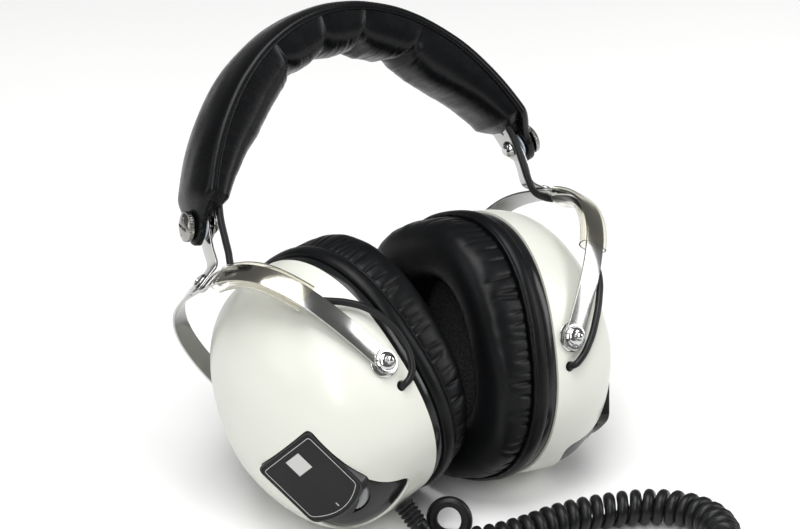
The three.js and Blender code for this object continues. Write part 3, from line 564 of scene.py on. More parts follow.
def band_stitches(edge):
    """One row of stitches beside the welt, as short threads pressed into the cover."""
    work = bmesh.new()
    pitch = 1.25
    for angle in spread(33, 147, int(114 / pitch)):
        centre = band_point(angle, COVER["edge"] + 1.1, edge * (COVER["half_width"] - 0.75))
        along = (band_point(angle + 0.5) - band_point(angle - 0.5)).normalized()
        matrix = LEANING @ towards(centre, along, (0, 1, 0)) @ Matrix.Diagonal((0.28, 0.28, 0.95, 1))
        bmesh.ops.create_uvsphere(work, u_segments=8, v_segments=6, radius=1, matrix=matrix)
    data = bpy.data.meshes.new("stitches")
    work.to_mesh(data)
    work.free()
    data.shade_smooth()
    return add_object(f"band_stitches_{'front' if edge > 0 else 'rear'}", data, "headband",
                      THREAD)


def headband_spring():
    section = []
    for a in spread(SPRING["end_angle"], 180 - SPRING["end_angle"], 120):
        middle = band_point(a, SPRING["offset"] - SPRING["thickness"] / 2)
        section.append((middle, Vector((0, 1, 0)), band_normal(a)))
    last = len(section) - 1

    def rounded_end(i):
        along = min(i, last - i) * 1.7
        return sqrt(min(1, 0.05 + along / 4))

    data = strip("headband_spring", section, SPRING["width"], SPRING["thickness"], LEANING, rounded_end)
    return add_object("spring_strip", data, "headband", SATIN_CHROME, ["headband_spring"])


# Stems, screws and rivets.
SLIDE_DOWN = Vector((sin(radians(STEM["lean"])), 0, -cos(radians(STEM["lean"]))))
SLIDE_OUT = Vector((cos(radians(STEM["lean"])), 0, sin(radians(STEM["lean"]))))
FOOT_UP = Vector((YOKE["foot_x"] - YOKE["pivot_x"], 0, YOKE["foot_z"] - YOKE["pivot_z"])).normalized()
FOOT_ALONG = Vector((FOOT_UP.z, 0, -FOOT_UP.x))
SCREW_SEAT = band_point(BAND["screw_angle"])


def crossing(p, d, q, e):
    t = ((q.x - p.x) * e.z - (q.z - p.z) * e.x) / (d.x * e.z - d.z * e.x)
    return p + d * t


def bent(corner, before, after, reach, steps=8):
    """Points around a bend, from `reach` before the corner to `reach` after it."""
    a, b = corner - before * reach, corner + after * reach
    return [a * (1 - t) ** 2 + corner * (2 * t * (1 - t)) + b * t ** 2 for t in spread(0, 1, steps)]


def stem(side):
    lower = Vector((sin(radians(STEM["lower_lean"])), 0, -cos(radians(STEM["lower_lean"]))))
    start = SCREW_SEAT + SLIDE_OUT * (STEM["offset"] + STEM["thickness"] / 2)
    knee = start + SLIDE_DOWN * STEM["straight"]
    seat = (Vector((YOKE["foot_x"], 0, YOKE["foot_z"]))
            + FOOT_UP * (YOKE["thickness"] / 2 + GAP + STEM["thickness"] / 2))
    corner = crossing(knee, lower, seat, FOOT_ALONG)
    end = seat + FOOT_ALONG * FOOT["outside"]
    line = ([start - SLIDE_DOWN * h for h in (STEM["above"], 12, 0)]
            + bent(knee + SLIDE_DOWN * 1.5, SLIDE_DOWN, lower, 5, 10)
            + bent(corner, lower, FOOT_ALONG, FOOT["bend"])
            + [end.lerp(seat, t) for t in (0.7, 0.45, 0.3, 0.15, 0.06, 0)])
    path = []
    for i, point in enumerate(line):
        along = (line[min(i + 1, len(line) - 1)] - line[max(i - 1, 0)]).normalized()
        path.append((point, Vector((0, 1, 0)), Vector((-along.z, 0, along.x))))
    widths = {len(line) - 1: 0.42, len(line) - 2: 0.66, len(line) - 3: 0.82, len(line) - 4: 0.93}
    data = strip("stem", path, STEM["width"], STEM["thickness"], STEMMED[side], lambda i: widths.get(i, 1))
    return add_object(f"{side}_stem_strip", data, f"{side}_stem", SATIN_CHROME, [f"{side}_stem"])


def pan_head(name, radius, height, matrix, slot_width=0.9, slot_length=0.62, depth=1.1):
    """A domed screw head with a cross recess, standing on the matrix's XY plane."""
    segments, rings = 96, 26
    points = []
    for i in range(rings + 1):
        t = i / rings
        r = radius * t
        top = height * sqrt(max(0, 1 - (t * 0.93) ** 2.6))
        for j in range(segments):
            a = tau * j / segments
            x, y = r * cos(a), r * sin(a)
            reach = radius * slot_length
            edge = max(min(abs(x), abs(y)) - slot_width / 2, max(abs(x), abs(y)) - reach)
            sink = depth * smoothstep(-edge, -0.12, 0.28)
            points.append((x, y, top - sink))
    faces = loft_faces(rings + 1, segments, False, False)
    skirt = len(points)
    points += [(radius * cos(tau * j / segments), radius * sin(tau * j / segments), 0)
               for j in range(segments)]
    last = rings * segments
    faces += [(last + j, last + (j + 1) % segments, skirt + (j + 1) % segments, skirt + j)
              for j in range(segments)]
    faces.append(tuple(range(skirt, skirt + segments)))
    return mesh_from(name, points, faces, matrix, 60)


def knurled_rim(name, radius, height, matrix, teeth=40):
    profile = [(radius * 0.8, 0), (radius - 0.3, 0), (radius, 0.3), (radius, height - 0.3),
               (radius - 0.3, height),
               (radius * 0.8, height)]
    return lathe(name, profile, matrix, teeth * 6, lambda angle: 1 - 0.022 * (0.5 + 0.5 * cos(teeth * angle)))


def adjuster(side):
    matrix = STEMMED[side] @ towards(SCREW_SEAT, SLIDE_OUT, SLIDE_DOWN)
    head = matrix @ Matrix.Translation((0, 0, SCREW["head_from"]))
    crossed = head @ turn(28, "Z")
    add_object(f"{side}_adjuster_head", pan_head("pan_head", SCREW["head_radius"], SCREW["head_height"],
                                                 crossed),
               "headband", WORN_CHROME)
    rim = knurled_rim("rim", SCREW["head_radius"] + 0.12, SCREW["head_height"] * 0.6, head)
    add_object(f"{side}_adjuster_rim", rim, "headband", WORN_CHROME)
    shaft = lathe("shaft", rounded([(0, -7.4), (1.9, -7.4), (1.9, 4.9), (0, 4.9)]), matrix, 40)
    add_object(f"{side}_adjuster_shaft", shaft, "headband", CHROME, [f"{side}_adjuster_screw"])
    washer = lathe("washer", rounded([(2.1, -1.2), (5.5, -1.2), (5.5, -0.45), (2.1, -0.45), (2.1, -1.2)],
                                     0.2), matrix)
    add_object(f"{side}_nylon_washer", washer, "headband", NYLON, [f"{side}_adjuster_washer"])
    under = SPRING["offset"] - SPRING["thickness"] - GAP
    nut = lathe("nut", rounded([(0, under - 2.6), (1.2, under - 2.5), (2.9, under - 1.5), (3.6, under - 0.3),
                                (3.6, under), (0, under)], 0.4), matrix)
    add_object(f"{side}_domed_nut", nut, "headband", CHROME, [f"{side}_adjuster_nut"])


def foot_rivet(side):
    top = YOKE["thickness"] / 2 + STEM["thickness"] + 2 * GAP
    under = -YOKE["thickness"] / 2 - GAP
    profile = rounded([(0, under - 1.1), (2.6, under - 1.1), (3.4, under - 0.4), (3.4, under), (1.9, under),
                       (1.9, top),
                       (3.4, top), (3.4, top + 0.45), (2.5, top + 1.15), (1.3, top + 1.15), (1.1, top + 0.55),
                       (0, top + 0.5)], 0.35)
    data = lathe("foot_rivet", profile, YOKED[side] @ Matrix.Translation((0, 0, YOKE_HEIGHT)))
    return add_object(f"{side}_hollow_rivet", data, f"{side}_yoke", CHROME, [f"{side}_foot_rivet"])


# Yokes and sleeves.
def yoke_point(angle, offset=0):
    def on_arch(t):
        power = 2 / YOKE["squareness"]
        return Vector((0, -YOKE["half_width"] * signed_power(cos(t), power),
                       YOKE_HEIGHT * signed_power(sin(t), power)))

    t = radians(angle)
    along = (on_arch(t + 0.01) - on_arch(t - 0.01)).normalized()
    return on_arch(t) + Vector((0, -along.z, along.y)) * offset


def yoke(side):
    rise = [0.6, 2, 4, 7] + spread(10, 88, 39)
    arch = [yoke_point(a) for a in rise + [90] + [180 - a for a in reversed(rise)]]
    lower = [Vector((0, -YOKE["half_width"], -z)) for z in (5.5, 5.3, 4.9, 4.2, 3.2, 2, 0.6)]
    line = lower + arch + [Vector((0, -p.y, p.z)) for p in reversed(lower)]
    path = []
    for i, point in enumerate(line):
        along = (line[min(i + 1, len(line) - 1)] - line[max(i - 1, 0)]).normalized()
        path.append((point, Vector((1, 0, 0)), Vector((0, -along.z, along.y))))
    ends = {0: 0.25, 1: 0.42, 2: 0.62, 3: 0.8, 4: 0.93, 5: 0.99}
    data = strip("yoke", path, YOKE["width"], YOKE["thickness"], YOKED[side],
                 lambda i: ends.get(min(i, len(line) - 1 - i), 1))
    return add_object(f"{side}_yoke_strip", data, f"{side}_yoke", SATIN_CHROME, [f"{side}_yoke"])


def sleeve(side):
    def section(angle, inset):
        ring = []
        for a in spread(0, tau, 36)[:-1]:
            above = SLEEVE["above"] if sin(a) > 0 else SLEEVE["below"] - 0.5 + 0.4 * sin(radians(angle * 5))
            point = yoke_point(angle, (above - inset) * signed_power(sin(a), 0.8))
            flare = 0.12 * sin(radians(angle * 9) + cos(a))
            point.x = (SLEEVE["half_wide"] - 0.9 - inset + flare) * signed_power(cos(a), 0.55)
            ring.append(point)
        return ring

    angles = spread(SLEEVE["first"], SLEEVE["last"], 44)
    outer = [section(a, 0) for a in angles]
    inner = [section(a, SLEEVE["wall"]) for a in reversed(angles)]
    data = loft("sleeve", outer + inner, YOKED[side], loop=True, sharp=60)
    return add_object(f"{side}_clear_sleeve", data, f"{side}_yoke", PVC,
                      [f"{side}_cable_sleeve"])


# Cups.
def shell_ring(u, inset, count=160):
    scale = max(1 - u ** SHELL["side_curve"], 0) ** (1 / SHELL["cap_curve"])
    return oval(RIM["x"] + (SHELL["depth"] - inset) * u, RIM["z"] - SHELL["drop"] * u * u,
                (RIM["half_y"] - inset) * scale, (RIM["half_z"] - inset) * scale, count,
                mix(RIM["squareness"], SHELL["cap_squareness"], u))


def dome_levels(count):
    return [sin(t * pi / 2) ** 1.1 for t in spread(0, 1, count)][:-1] + [0.9998, 0.99998, 0.999999]


def solid_dome(name, inset, matrix, skirt=0):
    """The dome without its hollow; a skirt lengthens its open end."""
    rings = [shell_ring(u, inset) for u in dome_levels(48)]
    if skirt:
        rings.insert(0, [p - Vector((skirt, 0, 0)) for p in rings[0]])
    return loft(name, rings, matrix, sharp=60)


def housing_frame():
    out = Vector(HOUSING["out"]).normalized()
    up = Vector(HOUSING["up"])
    up = (up - out * up.dot(out)).normalized()
    turned = Matrix((out, up.cross(out), up)).transposed().to_4x4()
    turned.translation = Vector(HOUSING["centre"])
    return turned


def arc_corner(corner, before, after, radius, steps=7):
    return [tuple(p) for p in bent(Vector(corner), (Vector(corner) - Vector(before)).normalized(),
                                   (Vector(after) - Vector(corner)).normalized(), radius, steps)]


def housing_outline(grow):
    """The plate's outline as (y, z) pairs: straight sides and top, a bottom that bulges, round corners."""
    half, top, low = HOUSING["half_width"] + grow, HOUSING["top"] + grow, HOUSING["corner_y"] - grow
    sag = HOUSING["bottom"] - grow - low
    bottom = [(half * x, low + sag * (1 - x * x)) for x in spread(-0.84, 0.84, 16)]
    c = max(HOUSING["corner"] + grow * 0.6, 1.2)
    return (arc_corner((half, low), bottom[-1], (half, top), c)
            + arc_corner((half, top), (half, low), (-half, top), c)
            + arc_corner((-half, top), (half, top), (-half, low), c)
            + arc_corner((-half, low), (-half, top), bottom[0], c) + bottom)


def prism(name, outline, first, last, matrix, edge=0.0):
    """A prism along X with its far edge rounded by `edge`."""
    middle = sum((Vector(p) for p in outline), Vector((0, 0))) / len(outline)

    def ring(x, inset):
        return [(x, *(Vector(p) + (middle - Vector(p)).normalized() * inset)) for p in outline]

    rings = [ring(first, 0)]
    if edge:
        rings += [ring(last - edge + edge * sin(a), edge * (1 - cos(a))) for a in spread(0, pi / 2, 5)]
    else:
        rings.append(ring(last, 0))
    return loft(name, rings, matrix, sharp=50)


def apron_prism(name, grow, matrix):
    line = []
    corners = [Vector((x + (-grow if x < 40 else grow), y + (-grow if y < 0 else grow)))
               for x, y in APRON["outline"]]
    for i, corner in enumerate(corners):
        line += arc_corner(corner, corners[i - 1], corners[(i + 1) % 4], 6 if i in (0, 1) else 1)
    levels = [APRON["top"] + grow - 62, APRON["top"] + grow]
    return loft(name, [[(x, y, z) for x, y in line] for z in levels], matrix)


def combined(piece, operation, tool_data):
    """Applies an exact boolean with a temporary mesh, and keeps the result in the piece."""
    tool = bpy.data.objects.new("tool", tool_data)
    bpy.context.scene.collection.objects.link(tool)
    modifier = piece.modifiers.new("cut", "BOOLEAN")
    modifier.operation = operation
    modifier.solver = "EXACT"
    modifier.object = tool
    apply_modifiers(piece)
    bpy.data.objects.remove(tool)
    bpy.data.meshes.remove(tool_data)


def apply_modifiers(piece):
    bpy.context.view_layer.update()
    evaluated = piece.evaluated_get(bpy.context.evaluated_depsgraph_get())
    data = bpy.data.meshes.new_from_object(evaluated)
    piece.modifiers.clear()
    piece.data = data


def loose(name, data, material):
    """An object that is not part of the model yet, for cutting."""
    data.materials.append(material)
    piece = bpy.data.objects.new(name, data)
    bpy.context.scene.collection.objects.link(piece)
    return piece


def soften(piece, width, sharp=34, segments=3):
    """Rounds a cut piece's sharp edges and shades it smoothly."""
    bevel = piece.modifiers.new("bevel", "BEVEL")
    bevel.width = width * MM
    bevel.segments = segments
    bevel.limit_method = "ANGLE"
    bevel.angle_limit = radians(sharp)
    bevel.harden_normals = False
    apply_modifiers(piece)
    piece.data.shade_smooth()
    work = bmesh.new()
    work.from_mesh(piece.data)
    for edge in work.edges:
        edge.smooth = len(edge.link_faces) != 2 or edge.calc_face_angle(0) < radians(50)
    work.to_mesh(piece.data)
    work.free()


def settle(piece, body, replaced):
    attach(piece, body)
    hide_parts(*replaced)
    return piece


CABLE_ENTRY = Vector((-2, -46.5, -11.5))
CORD_ENTRY = Vector((5, -12.5, -53))


def shell(side):
    piece = loose(f"{side}_shell_body", solid_dome("shell", 0, CUP[side]), WHITE)
    combined(piece, "DIFFERENCE", solid_dome("cut", SHELL["wall"], CUP[side], skirt=1))
    housing = CUP[side] @ housing_frame()
    combined(piece, "DIFFERENCE", prism("cut", housing_outline(GAP), -HOUSING["depth"] - GAP, 14, housing))
    combined(piece, "DIFFERENCE", apron_prism("cut", GAP, CUP[side]))
    hole = CUP[side] @ towards(CABLE_ENTRY - Vector((0, 6, 0)), (0, 1, 0))
    combined(piece, "DIFFERENCE", lathe("cut", [(0, 0), (2.1, 0), (2.1, 12), (0, 12)], hole))
    piece.data.shade_smooth()
    sharpen(piece.data, 32)
    return settle(piece, f"{side}_cup", [f"{side}_shell"])


def sharpen(data, angle):
    work = bmesh.new()
    work.from_mesh(data)
    for edge in work.edges:
        edge.smooth = len(edge.link_faces) == 2 and edge.calc_face_angle(0) < radians(angle)
    work.to_mesh(data)
    work.free()


def volume_housing(side):
    piece = loose(f"{side}_housing_body", solid_dome("apron", APRON["inset"], CUP[side]), BLACK)
    combined(piece, "INTERSECT", apron_prism("cut", 0, CUP[side]))
    combined(piece, "DIFFERENCE", solid_dome("cut", APRON["inset"] + APRON["thickness"], CUP[side]))
    housing = CUP[side] @ housing_frame()
    combined(piece, "DIFFERENCE", prism("cut", housing_outline(2), -HOUSING["plate"] - GAP, 20, housing))
    combined(piece, "UNION", prism("block", housing_outline(0), -HOUSING["depth"], -0.15, housing, 0.5))
    combined(piece, "DIFFERENCE", prism("cut", housing_outline(-HOUSING["plate_inset"] + 0.15),
                                        -HOUSING["plate"] - 0.25, 6, housing))
    wheel = housing @ Matrix.Translation((0, WHEEL["y"], WHEEL["z"])) @ turn(90, "Y")
    combined(piece, "DIFFERENCE", lathe("cut", [(0, WHEEL["first"] - 0.6),
                                                (WHEEL["radius"] + 0.7, WHEEL["first"] - 0.6),
                                                (WHEEL["radius"] + 0.7, WHEEL["last"] + 0.6),
                                                (0, WHEEL["last"] + 0.6)],
                                        wheel))
    soften(piece, 0.22)
    return settle(piece, f"{side}_cup", [f"{side}_volume_housing"])


def label_plate(side):
    housing = CUP[side] @ housing_frame()
    data = prism("label_plate", housing_outline(-HOUSING["plate_inset"]), -HOUSING["plate"], -0.1, housing,
                 0.25)
    add_object(f"{side}_plate", data, f"{side}_cup", PLATE, [f"{side}_label_plate"])
    line = [(-0.06, y, z) for y, z in housing_outline(-HOUSING["plate_inset"] - 1.3)]
    border = tube_curve("border", line + line[:1], 0.13, housing, smooth=False)
    add_object(f"{side}_plate_border", border, f"{side}_cup", PRINT)
    square = [(-5.4, 3.2), (3.6, 3.2), (3.6, 11), (-5.4, 11)]
    block = prism("square", square, -0.4, 0.0, housing, 0.05)
    add_object(f"{side}_plate_square", block, f"{side}_cup", PRINT)
    y = WHEEL["y"] + 4
    mark = tube_curve("mark", [(-0.04, y, -15.6), (-0.04, y, -13.9)], 0.22, housing, False)
    add_object(f"{side}_index_mark_0", mark, f"{side}_cup", PRINT)


def volume_wheel(side):
    teeth = WHEEL["teeth"]

    def knurl(angle):
        return 1 - 0.03 * (0.5 + 0.5 * cos(teeth * angle)) ** 1.5

    low, high, r = WHEEL["first"], WHEEL["last"], WHEEL["radius"]
    profile = [(0, low), (r * 0.8, low), (r - 0.9, low), (r - 0.25, low + 0.25), (r, low + 0.9),
               (r, high - 0.9),
               (r - 0.25, high - 0.25), (r - 0.9, high), (r * 0.8, high), (0, high)]
    matrix = CUP[side] @ housing_frame() @ Matrix.Translation((0, WHEEL["y"], WHEEL["z"])) @ turn(90, "Y")
    data = lathe("volume_wheel", profile, matrix, teeth * 8, knurl, sharp=60)
    return add_object(f"{side}_thumbwheel", data, f"{side}_wheel", GREY_RUBBER,
                      [f"{side}_volume_wheel"])


BAFFLE_X = RIM["x"] - GAP - BAFFLE["thickness"]
FLANGE_X = BAFFLE_X - GAP
CUSHION_X = FLANGE_X - FLANGE["thickness"] - GAP


def oval_ring(x, section, count=220):
    return [oval(x - away, RIM["z"], RIM["half_y"] - inside, RIM["half_z"] - inside, count)
            for inside, away in section]


def baffle(side):
    thick, recess = BAFFLE["thickness"], BAFFLE["recess"]
    inner = RIM["half_y"] - BAFFLE["hole"]
    section = [(inner, 0), (recess + 0.5, 0), (recess + 0.1, -0.15), (recess, -0.5), (recess, -thick + 0.5),
               (recess + 0.15, -thick + 0.15), (recess + 0.5, -thick), (inner, -thick)]
    data = loft("baffle", oval_ring(BAFFLE_X, section), CUP[side], loop=True)
    return add_object(f"{side}_baffle_ring", data, f"{side}_cup", BLACK, [f"{side}_baffle"])


def flange(side):
    thick, proud, lip = FLANGE["thickness"], FLANGE["proud"], FLANGE["lip"]
    section = [(lip, 0.05), (3, 0.05), (1.2, 0.05)]
    for a in spread(-pi / 2, pi / 2, 16):
        bulge = cos(a) ** 0.75 if cos(a) > 1e-6 else 0
        section.append((0.9 - (proud + 0.9) * bulge, thick * (0.5 + 0.5 * sin(a))))
    section += [(1.6, thick + 0.12), (3.2, thick + 0.02), (lip, thick)]
    rings = oval_ring(FLANGE_X, section)
    for i, ring in enumerate(rings):
        for p in ring:
            spot = Vector((p.x * 0.05, p.y * 0.12, p.z * 0.12))
            p.x += 0.22 * noise.noise(spot) * (2 < i < 20)
    data = loft("flange", rings, CUP[side], loop=True, sharp=70)
    return add_object(f"{side}_flange_roll", data, f"{side}_cup", SOFT_LEATHER,
                      [f"{side}_cushion_flange"])


def gathered_seam(side):
    """The rough welt where the flange is sewn to the cushion's wall."""
    seed = 3.7 if side == "left" else 9.1
    half_y, half_z = RIM["half_y"] - 0.3, RIM["half_z"] - 0.3
    ring = even_ring(oval(CUSHION_X + 0.15, RIM["z"], half_y, half_z, 420))
    points = []
    for i, p in enumerate(ring):
        wobble = 0.22 * noise.noise(Vector((i * 0.35, seed, 0)))
        outwards = Vector((0, p.y / half_y, (p.z - RIM["z"]) / half_z)).normalized()
        points.append(p + outwards * wobble + Vector((0.3 * noise.noise(Vector((i * 0.21, 0, seed))), 0, 0)))
    data = as_mesh(tube_curve("welt", points + points[:1], 0.62, CUP[side], smooth=False))
    return add_object(f"{side}_flange_welt", data, f"{side}_cup", SOFT_LEATHER)


def squashed(x, z):
    low = min(max((RIM["z"] + RIM["half_z"] - z) / (2 * RIM["half_z"]), 0), 1)
    return CUSHION_X + (x - CUSHION_X) * (1 - CUSHION["squash"] * low ** CUSHION["squash_power"])


CUSHION_SECTION = [(0.1, 0), (0.03, 0.03), (0.005, 0.12), (0, 0.35), (0.012, 0.55), (0.05, 0.75), (0.13, 0.9),
                   (0.26, 0.985), (0.42, 1.01), (0.58, 0.985), (0.74, 0.92), (0.88, 0.78), (0.97, 0.58),
                   (1, 0.3),
                   (0.98, 0.1), (0.92, 0)]


def smooth_line(points, per_span):
    """A Catmull-Rom curve through an open list of 2-D or 3-D points."""
    result = []
    last = len(points) - 1
    for i in range(last):
        p = [Vector(points[min(max(k, 0), last)]) for k in (i - 1, i, i + 1, i + 2)]
        for t in spread(0, 1, per_span)[:-1]:
            result.append(0.5 * (2 * p[1] + (p[2] - p[0]) * t
                                 + (2 * p[0] - 5 * p[1] + 4 * p[2] - p[3]) * t * t
                                 + (3 * p[1] - p[0] - 3 * p[2] + p[3]) * t ** 3))
    result.append(Vector(points[-1]))
    return result


def hashed(number, seed):
    """A repeatable number from 0 to 1."""
    return sin(number * 127.1 + seed * 311.7) * 43758.5453 % 1


def creases(around, seed):
    """Gathers along a seam of the given length: (place, depth, how far they reach, slant)."""
    result, place_at, number = [], 0, 0
    while place_at < around - 2.5:
        number += 1
        place_at += 2.6 + 4.6 * hashed(number, seed) ** 1.5
        result.append((place_at, 0.45 + 0.8 * hashed(number, seed + 1),
                       0.45 + 0.65 * hashed(number, seed + 2),
                       4.5 * (hashed(number, seed + 3) - 0.5)))
    return result


def crease_depth(gathers, distance, along, around):
    """How deep the leather is drawn in at a place, `along` from the seam (0) to the face (1)."""
    total = 0
    for place_at, depth, reach, slant in gathers:
        off = distance - place_at - slant * along
        off = min(abs(off), abs(off + around), abs(off - around))
        if off < 5:
            fade = 1 - smoothstep(along, reach * 0.3, reach)
            width = 0.5 + 0.9 * along
            total += depth * fade * exp(-(off / width) ** 1.4)
    return total


def cushion(side):
    seed = 3.7 if side == "left" else 9.1
    profile = smooth_line(CUSHION_SECTION, 3)
    count = 900
    seam = even_ring(oval(0, RIM["z"], RIM["half_y"] - CUSHION["inset"], RIM["half_z"] - CUSHION["inset"],
                          count))
    around = sum((b - a).length for a, b in zip(seam, seam[1:] + seam[:1]))
    gathers = creases(around, seed)
    inner_gathers = creases(around, seed + 20)
    rings = []
    for across, away in profile:
        half_y = mix(RIM["half_y"] - CUSHION["inset"], CUSHION["hole_y"], across)
        half_z = mix(RIM["half_z"] - CUSHION["inset"], CUSHION["hole_z"], across)
        flat = even_ring(oval(0, RIM["z"], half_y, half_z, count))
        on_wall = across < 0.5
        along = min(away + across * 0.9, 1) if on_wall else min(away + (1 - across) * 1.2, 1)
        seat = smoothstep(away, -0.02, 0.06)
        face = smoothstep(away, 0.75, 1.0)
        ring = []
        for i, p in enumerate(flat):
            distance = around * i / count
            lower = smoothstep(-p.z, -10, 40)
            outwards = Vector((0, p.y / half_y, (p.z - RIM["z"]) / half_z)).normalized()
            drawn = crease_depth(gathers if on_wall else inner_gathers, distance, along, around)
            swell = 0.5 * noise.noise(Vector((distance * 0.16, along * 0.9, seed)))
            strength = (0.75 + 0.35 * lower) if on_wall else -0.3
            push = seat * (strength * -drawn + (0.35 + swell * 0.8) * (1 - face) * (1 if on_wall else -0.3))
            soft = face * 0.5 * noise.noise(Vector((p.y * 0.045, p.z * 0.045, seed)))
            x = squashed(CUSHION_X - CUSHION["thickness"] * away - soft, p.z)
            moved = p + outwards * push
            ring.append(Vector((x, moved.y, moved.z)))
        rings.append(ring)
    data = loft("cushion", rings, CUP[side], loop=True, sharp=80)
    piece = add_object(f"{side}_cushion_ring", data, f"{side}_cup", SOFT_LEATHER,
                       [f"{side}_cushion"])
    return piece


def ear_cloth(side):
    """The dark cloth that covers the driver at the bottom of the ear opening."""
    x = BAFFLE_X - GAP - 2.6
    rings = [oval(x - 0.5 * (1 - (s * s)), RIM["z"], 31 * s, 33.5 * s, 120)
             for s in (0.01, 0.25, 0.5, 0.75, 0.95, 1)]
    rings.append(oval(x + 2.3, RIM["z"], 31, 33.5, 120))
    rings.append(oval(x + 2.3, RIM["z"], 0.3, 0.3, 120))
    data = loft("ear_cloth", rings, CUP[side])
    return add_object(f"{side}_ear_cloth", data, f"{side}_cup", FOAM, [f"{side}_foam_screen"])


def pivot(side, where, end):
    matrix = CUP[side] @ towards((0, 0, 0), (0, end, 0), (1, 0, 0))
    wide = PIVOT["bush_radius"]
    bush = rounded([(2.6, PIVOT["bush_from"]), (wide, PIVOT["bush_from"]), (wide, PIVOT["bush_from"] + 0.3),
                    (5, PIVOT["bush_to"]), (2.6, PIVOT["bush_to"]), (2.6, PIVOT["bush_from"])], 0.2)
    add_object(f"{side}_{where}_bush_ring", lathe("bush", bush, matrix), f"{side}_cup", CHROME,
               [f"{side}_{where}_pivot_bush"])
    seat = YOKE["half_width"] + YOKE["thickness"] / 2 + GAP
    collar = [(PIVOT["head_radius"], seat + 0.6), (PIVOT["head_radius"] - 0.25, seat + 0.8),
              (3.8, seat + 0.8)]
    dome = [(3.8 * cos(a), seat + 0.8 + 1.6 * sin(a)) for a in spread(0.15, 1.1, 10)]
    ball = [(PIVOT["ball"] * cos(a) * 1.02, seat + 3.0 + PIVOT["ball"] * 0.85 * sin(a))
            for a in spread(-0.9, pi / 2, 12)]
    profile = [(0, 40), (2.2, 40), (2.2, seat), (PIVOT["head_radius"] - 0.3, seat),
               (PIVOT["head_radius"], seat + 0.25)]
    screw = lathe("pivot_screw", profile + collar + dome + ball, matrix)
    add_object(f"{side}_{where}_ball_screw", screw, f"{side}_cup", CHROME,
               [f"{side}_{where}_pivot_screw"])
    washer = rounded([(2.4, seat - 0.28), (5.2, seat - 0.28), (5.2, seat + 0.12), (2.4, seat + 0.12),
                      (2.4, seat - 0.28)],
                     0.15)
    add_object(f"{side}_{where}_pivot_washer", lathe("washer", washer, matrix), f"{side}_cup",
               SATIN_CHROME)


# Cables between the headband and the cups.
LOWER_CABLE = {
    "left": dict(yoke=[(-2.6, -42.2, 36.6), (-5.8, -43.6, 32)],
                 cup=[(-1.5, -45.8, 27.4), (-6.6, -48.3, 21), (-10, -50.1, 12.5), (-11.2, -50.6, 3),
                      (-9.6, -50.4, -5.2),
                      (-6, -49.4, -10.2), (-2.6, -47.6, -11.6)]),
    "right": dict(yoke=[(2.6, -42.2, 36.3), (6.6, -44.4, 29), (7.6, -47.2, 20), (7.9, -48.9, 10),
                        (7.6, -49.4, 1),
                        (5.6, -49.3, -7.6)], cup=[(-1, -48.6, -10.9)]),
}
CABLE_TOP = Vector((66.3, -8.6, 8.6))


def lower_cable(side):
    to_yoke = turn(TILT[side] - YOKE_ANGLE, "Y")
    under = [yoke_point(a, CABLE["under"]) for a in (85, 78, 70, 60, 50, 41)]
    free = [Vector(p) for p in LOWER_CABLE[side]["yoke"]]
    free += [to_yoke @ Vector(p) for p in LOWER_CABLE[side]["cup"]]
    entry = to_yoke @ (CABLE_ENTRY + Vector((0, 3.5, 0)))
    tube = as_mesh(tube_curve("cable", under + free + [entry], CABLE["radius"], YOKED[side], resolution=10))
    piece = add_object(f"{side}_lower_lead", tube, None, RUBBER, [f"{side}_cable_lower"])
    start = YOKED[side] @ yoke_point(41, CABLE["under"])
    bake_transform(piece)
    return piece


def upper_cable(side):
    to_stem = STEMMED[side].inverted() @ YOKED[side]
    meeting = to_stem @ yoke_point(85, CABLE["under"])
    end = meeting + Vector((-0.5, 1.8, 0.2))
    points = [CABLE_TOP - SLIDE_DOWN * 21, CABLE_TOP - SLIDE_DOWN * 10, CABLE_TOP, Vector((67.8, -8.6, 1)),
              Vector((68.4, -8.8, -8)), Vector((68.8, -8.8, -15)), Vector((70.2, -8.4, -20.5)),
              end + Vector((-3, 0.4, 1.4)), end]
    tube = as_mesh(tube_curve("cable", points, CABLE["radius"], STEMMED[side], resolution=10))
    piece = add_object(f"{side}_upper_lead", tube, None, RUBBER, [f"{side}_cable_upper"])
    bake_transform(piece)
    return piece


# The free cord: strain relief, lead, curly stretch, tail and plug, drawn in the cord's frame.
CORD_START = CORD_FRAME.inverted() @ CUP["left"] @ CORD_ENTRY
CORD_DIRECTION = Vector((0.55, -0.2, -0.8)).normalized()
LOOP = dict(x=20.5, y=-65, z=9.6, radius=7.1, drift=4, lean=2)
COIL_AXIS = [
    (28.5, -80.5), (39, -77.5), (51, -71.5), (65, -62.5), (81, -56.5), (97, -53.5), (109, -54.5),
    (118, -58.5), (124.5, -65), (128, -74), (127.5, -84), (122, -94.5), (114, -101.5), (102, -104),
    (84, -104), (60, -104), (40, -104), (28, -104.8), (17, -109.5), (10.5, -118), (10, -129),
    (16, -138.5), (26, -143.5), (40, -144), (60, -144), (86, -144),
]


def lead_points():
    start = CORD_START + CORD_DIRECTION * RELIEF["length"]
    loop = []
    for angle in spread(-90, 270, 12):
        a = radians(angle)
        loop.append((LOOP["x"] + LOOP["radius"] * cos(a),
                     LOOP["y"] + LOOP["drift"] * (angle + 90) / 360 + LOOP["lean"] * sin(a),
                     LOOP["z"] + LOOP["radius"] * sin(a)))
    knots = [start + CORD_DIRECTION * GAP, start + CORD_DIRECTION * 2.5, (13, -68.2, 2.8),
             (16.5, -67.2, 2.5), *loop,
             (25.2, -63.4, 2.6), (27, -67, 2.6), (27, -72, 2.6), (27.5, -77, 2.55)]
    return knots


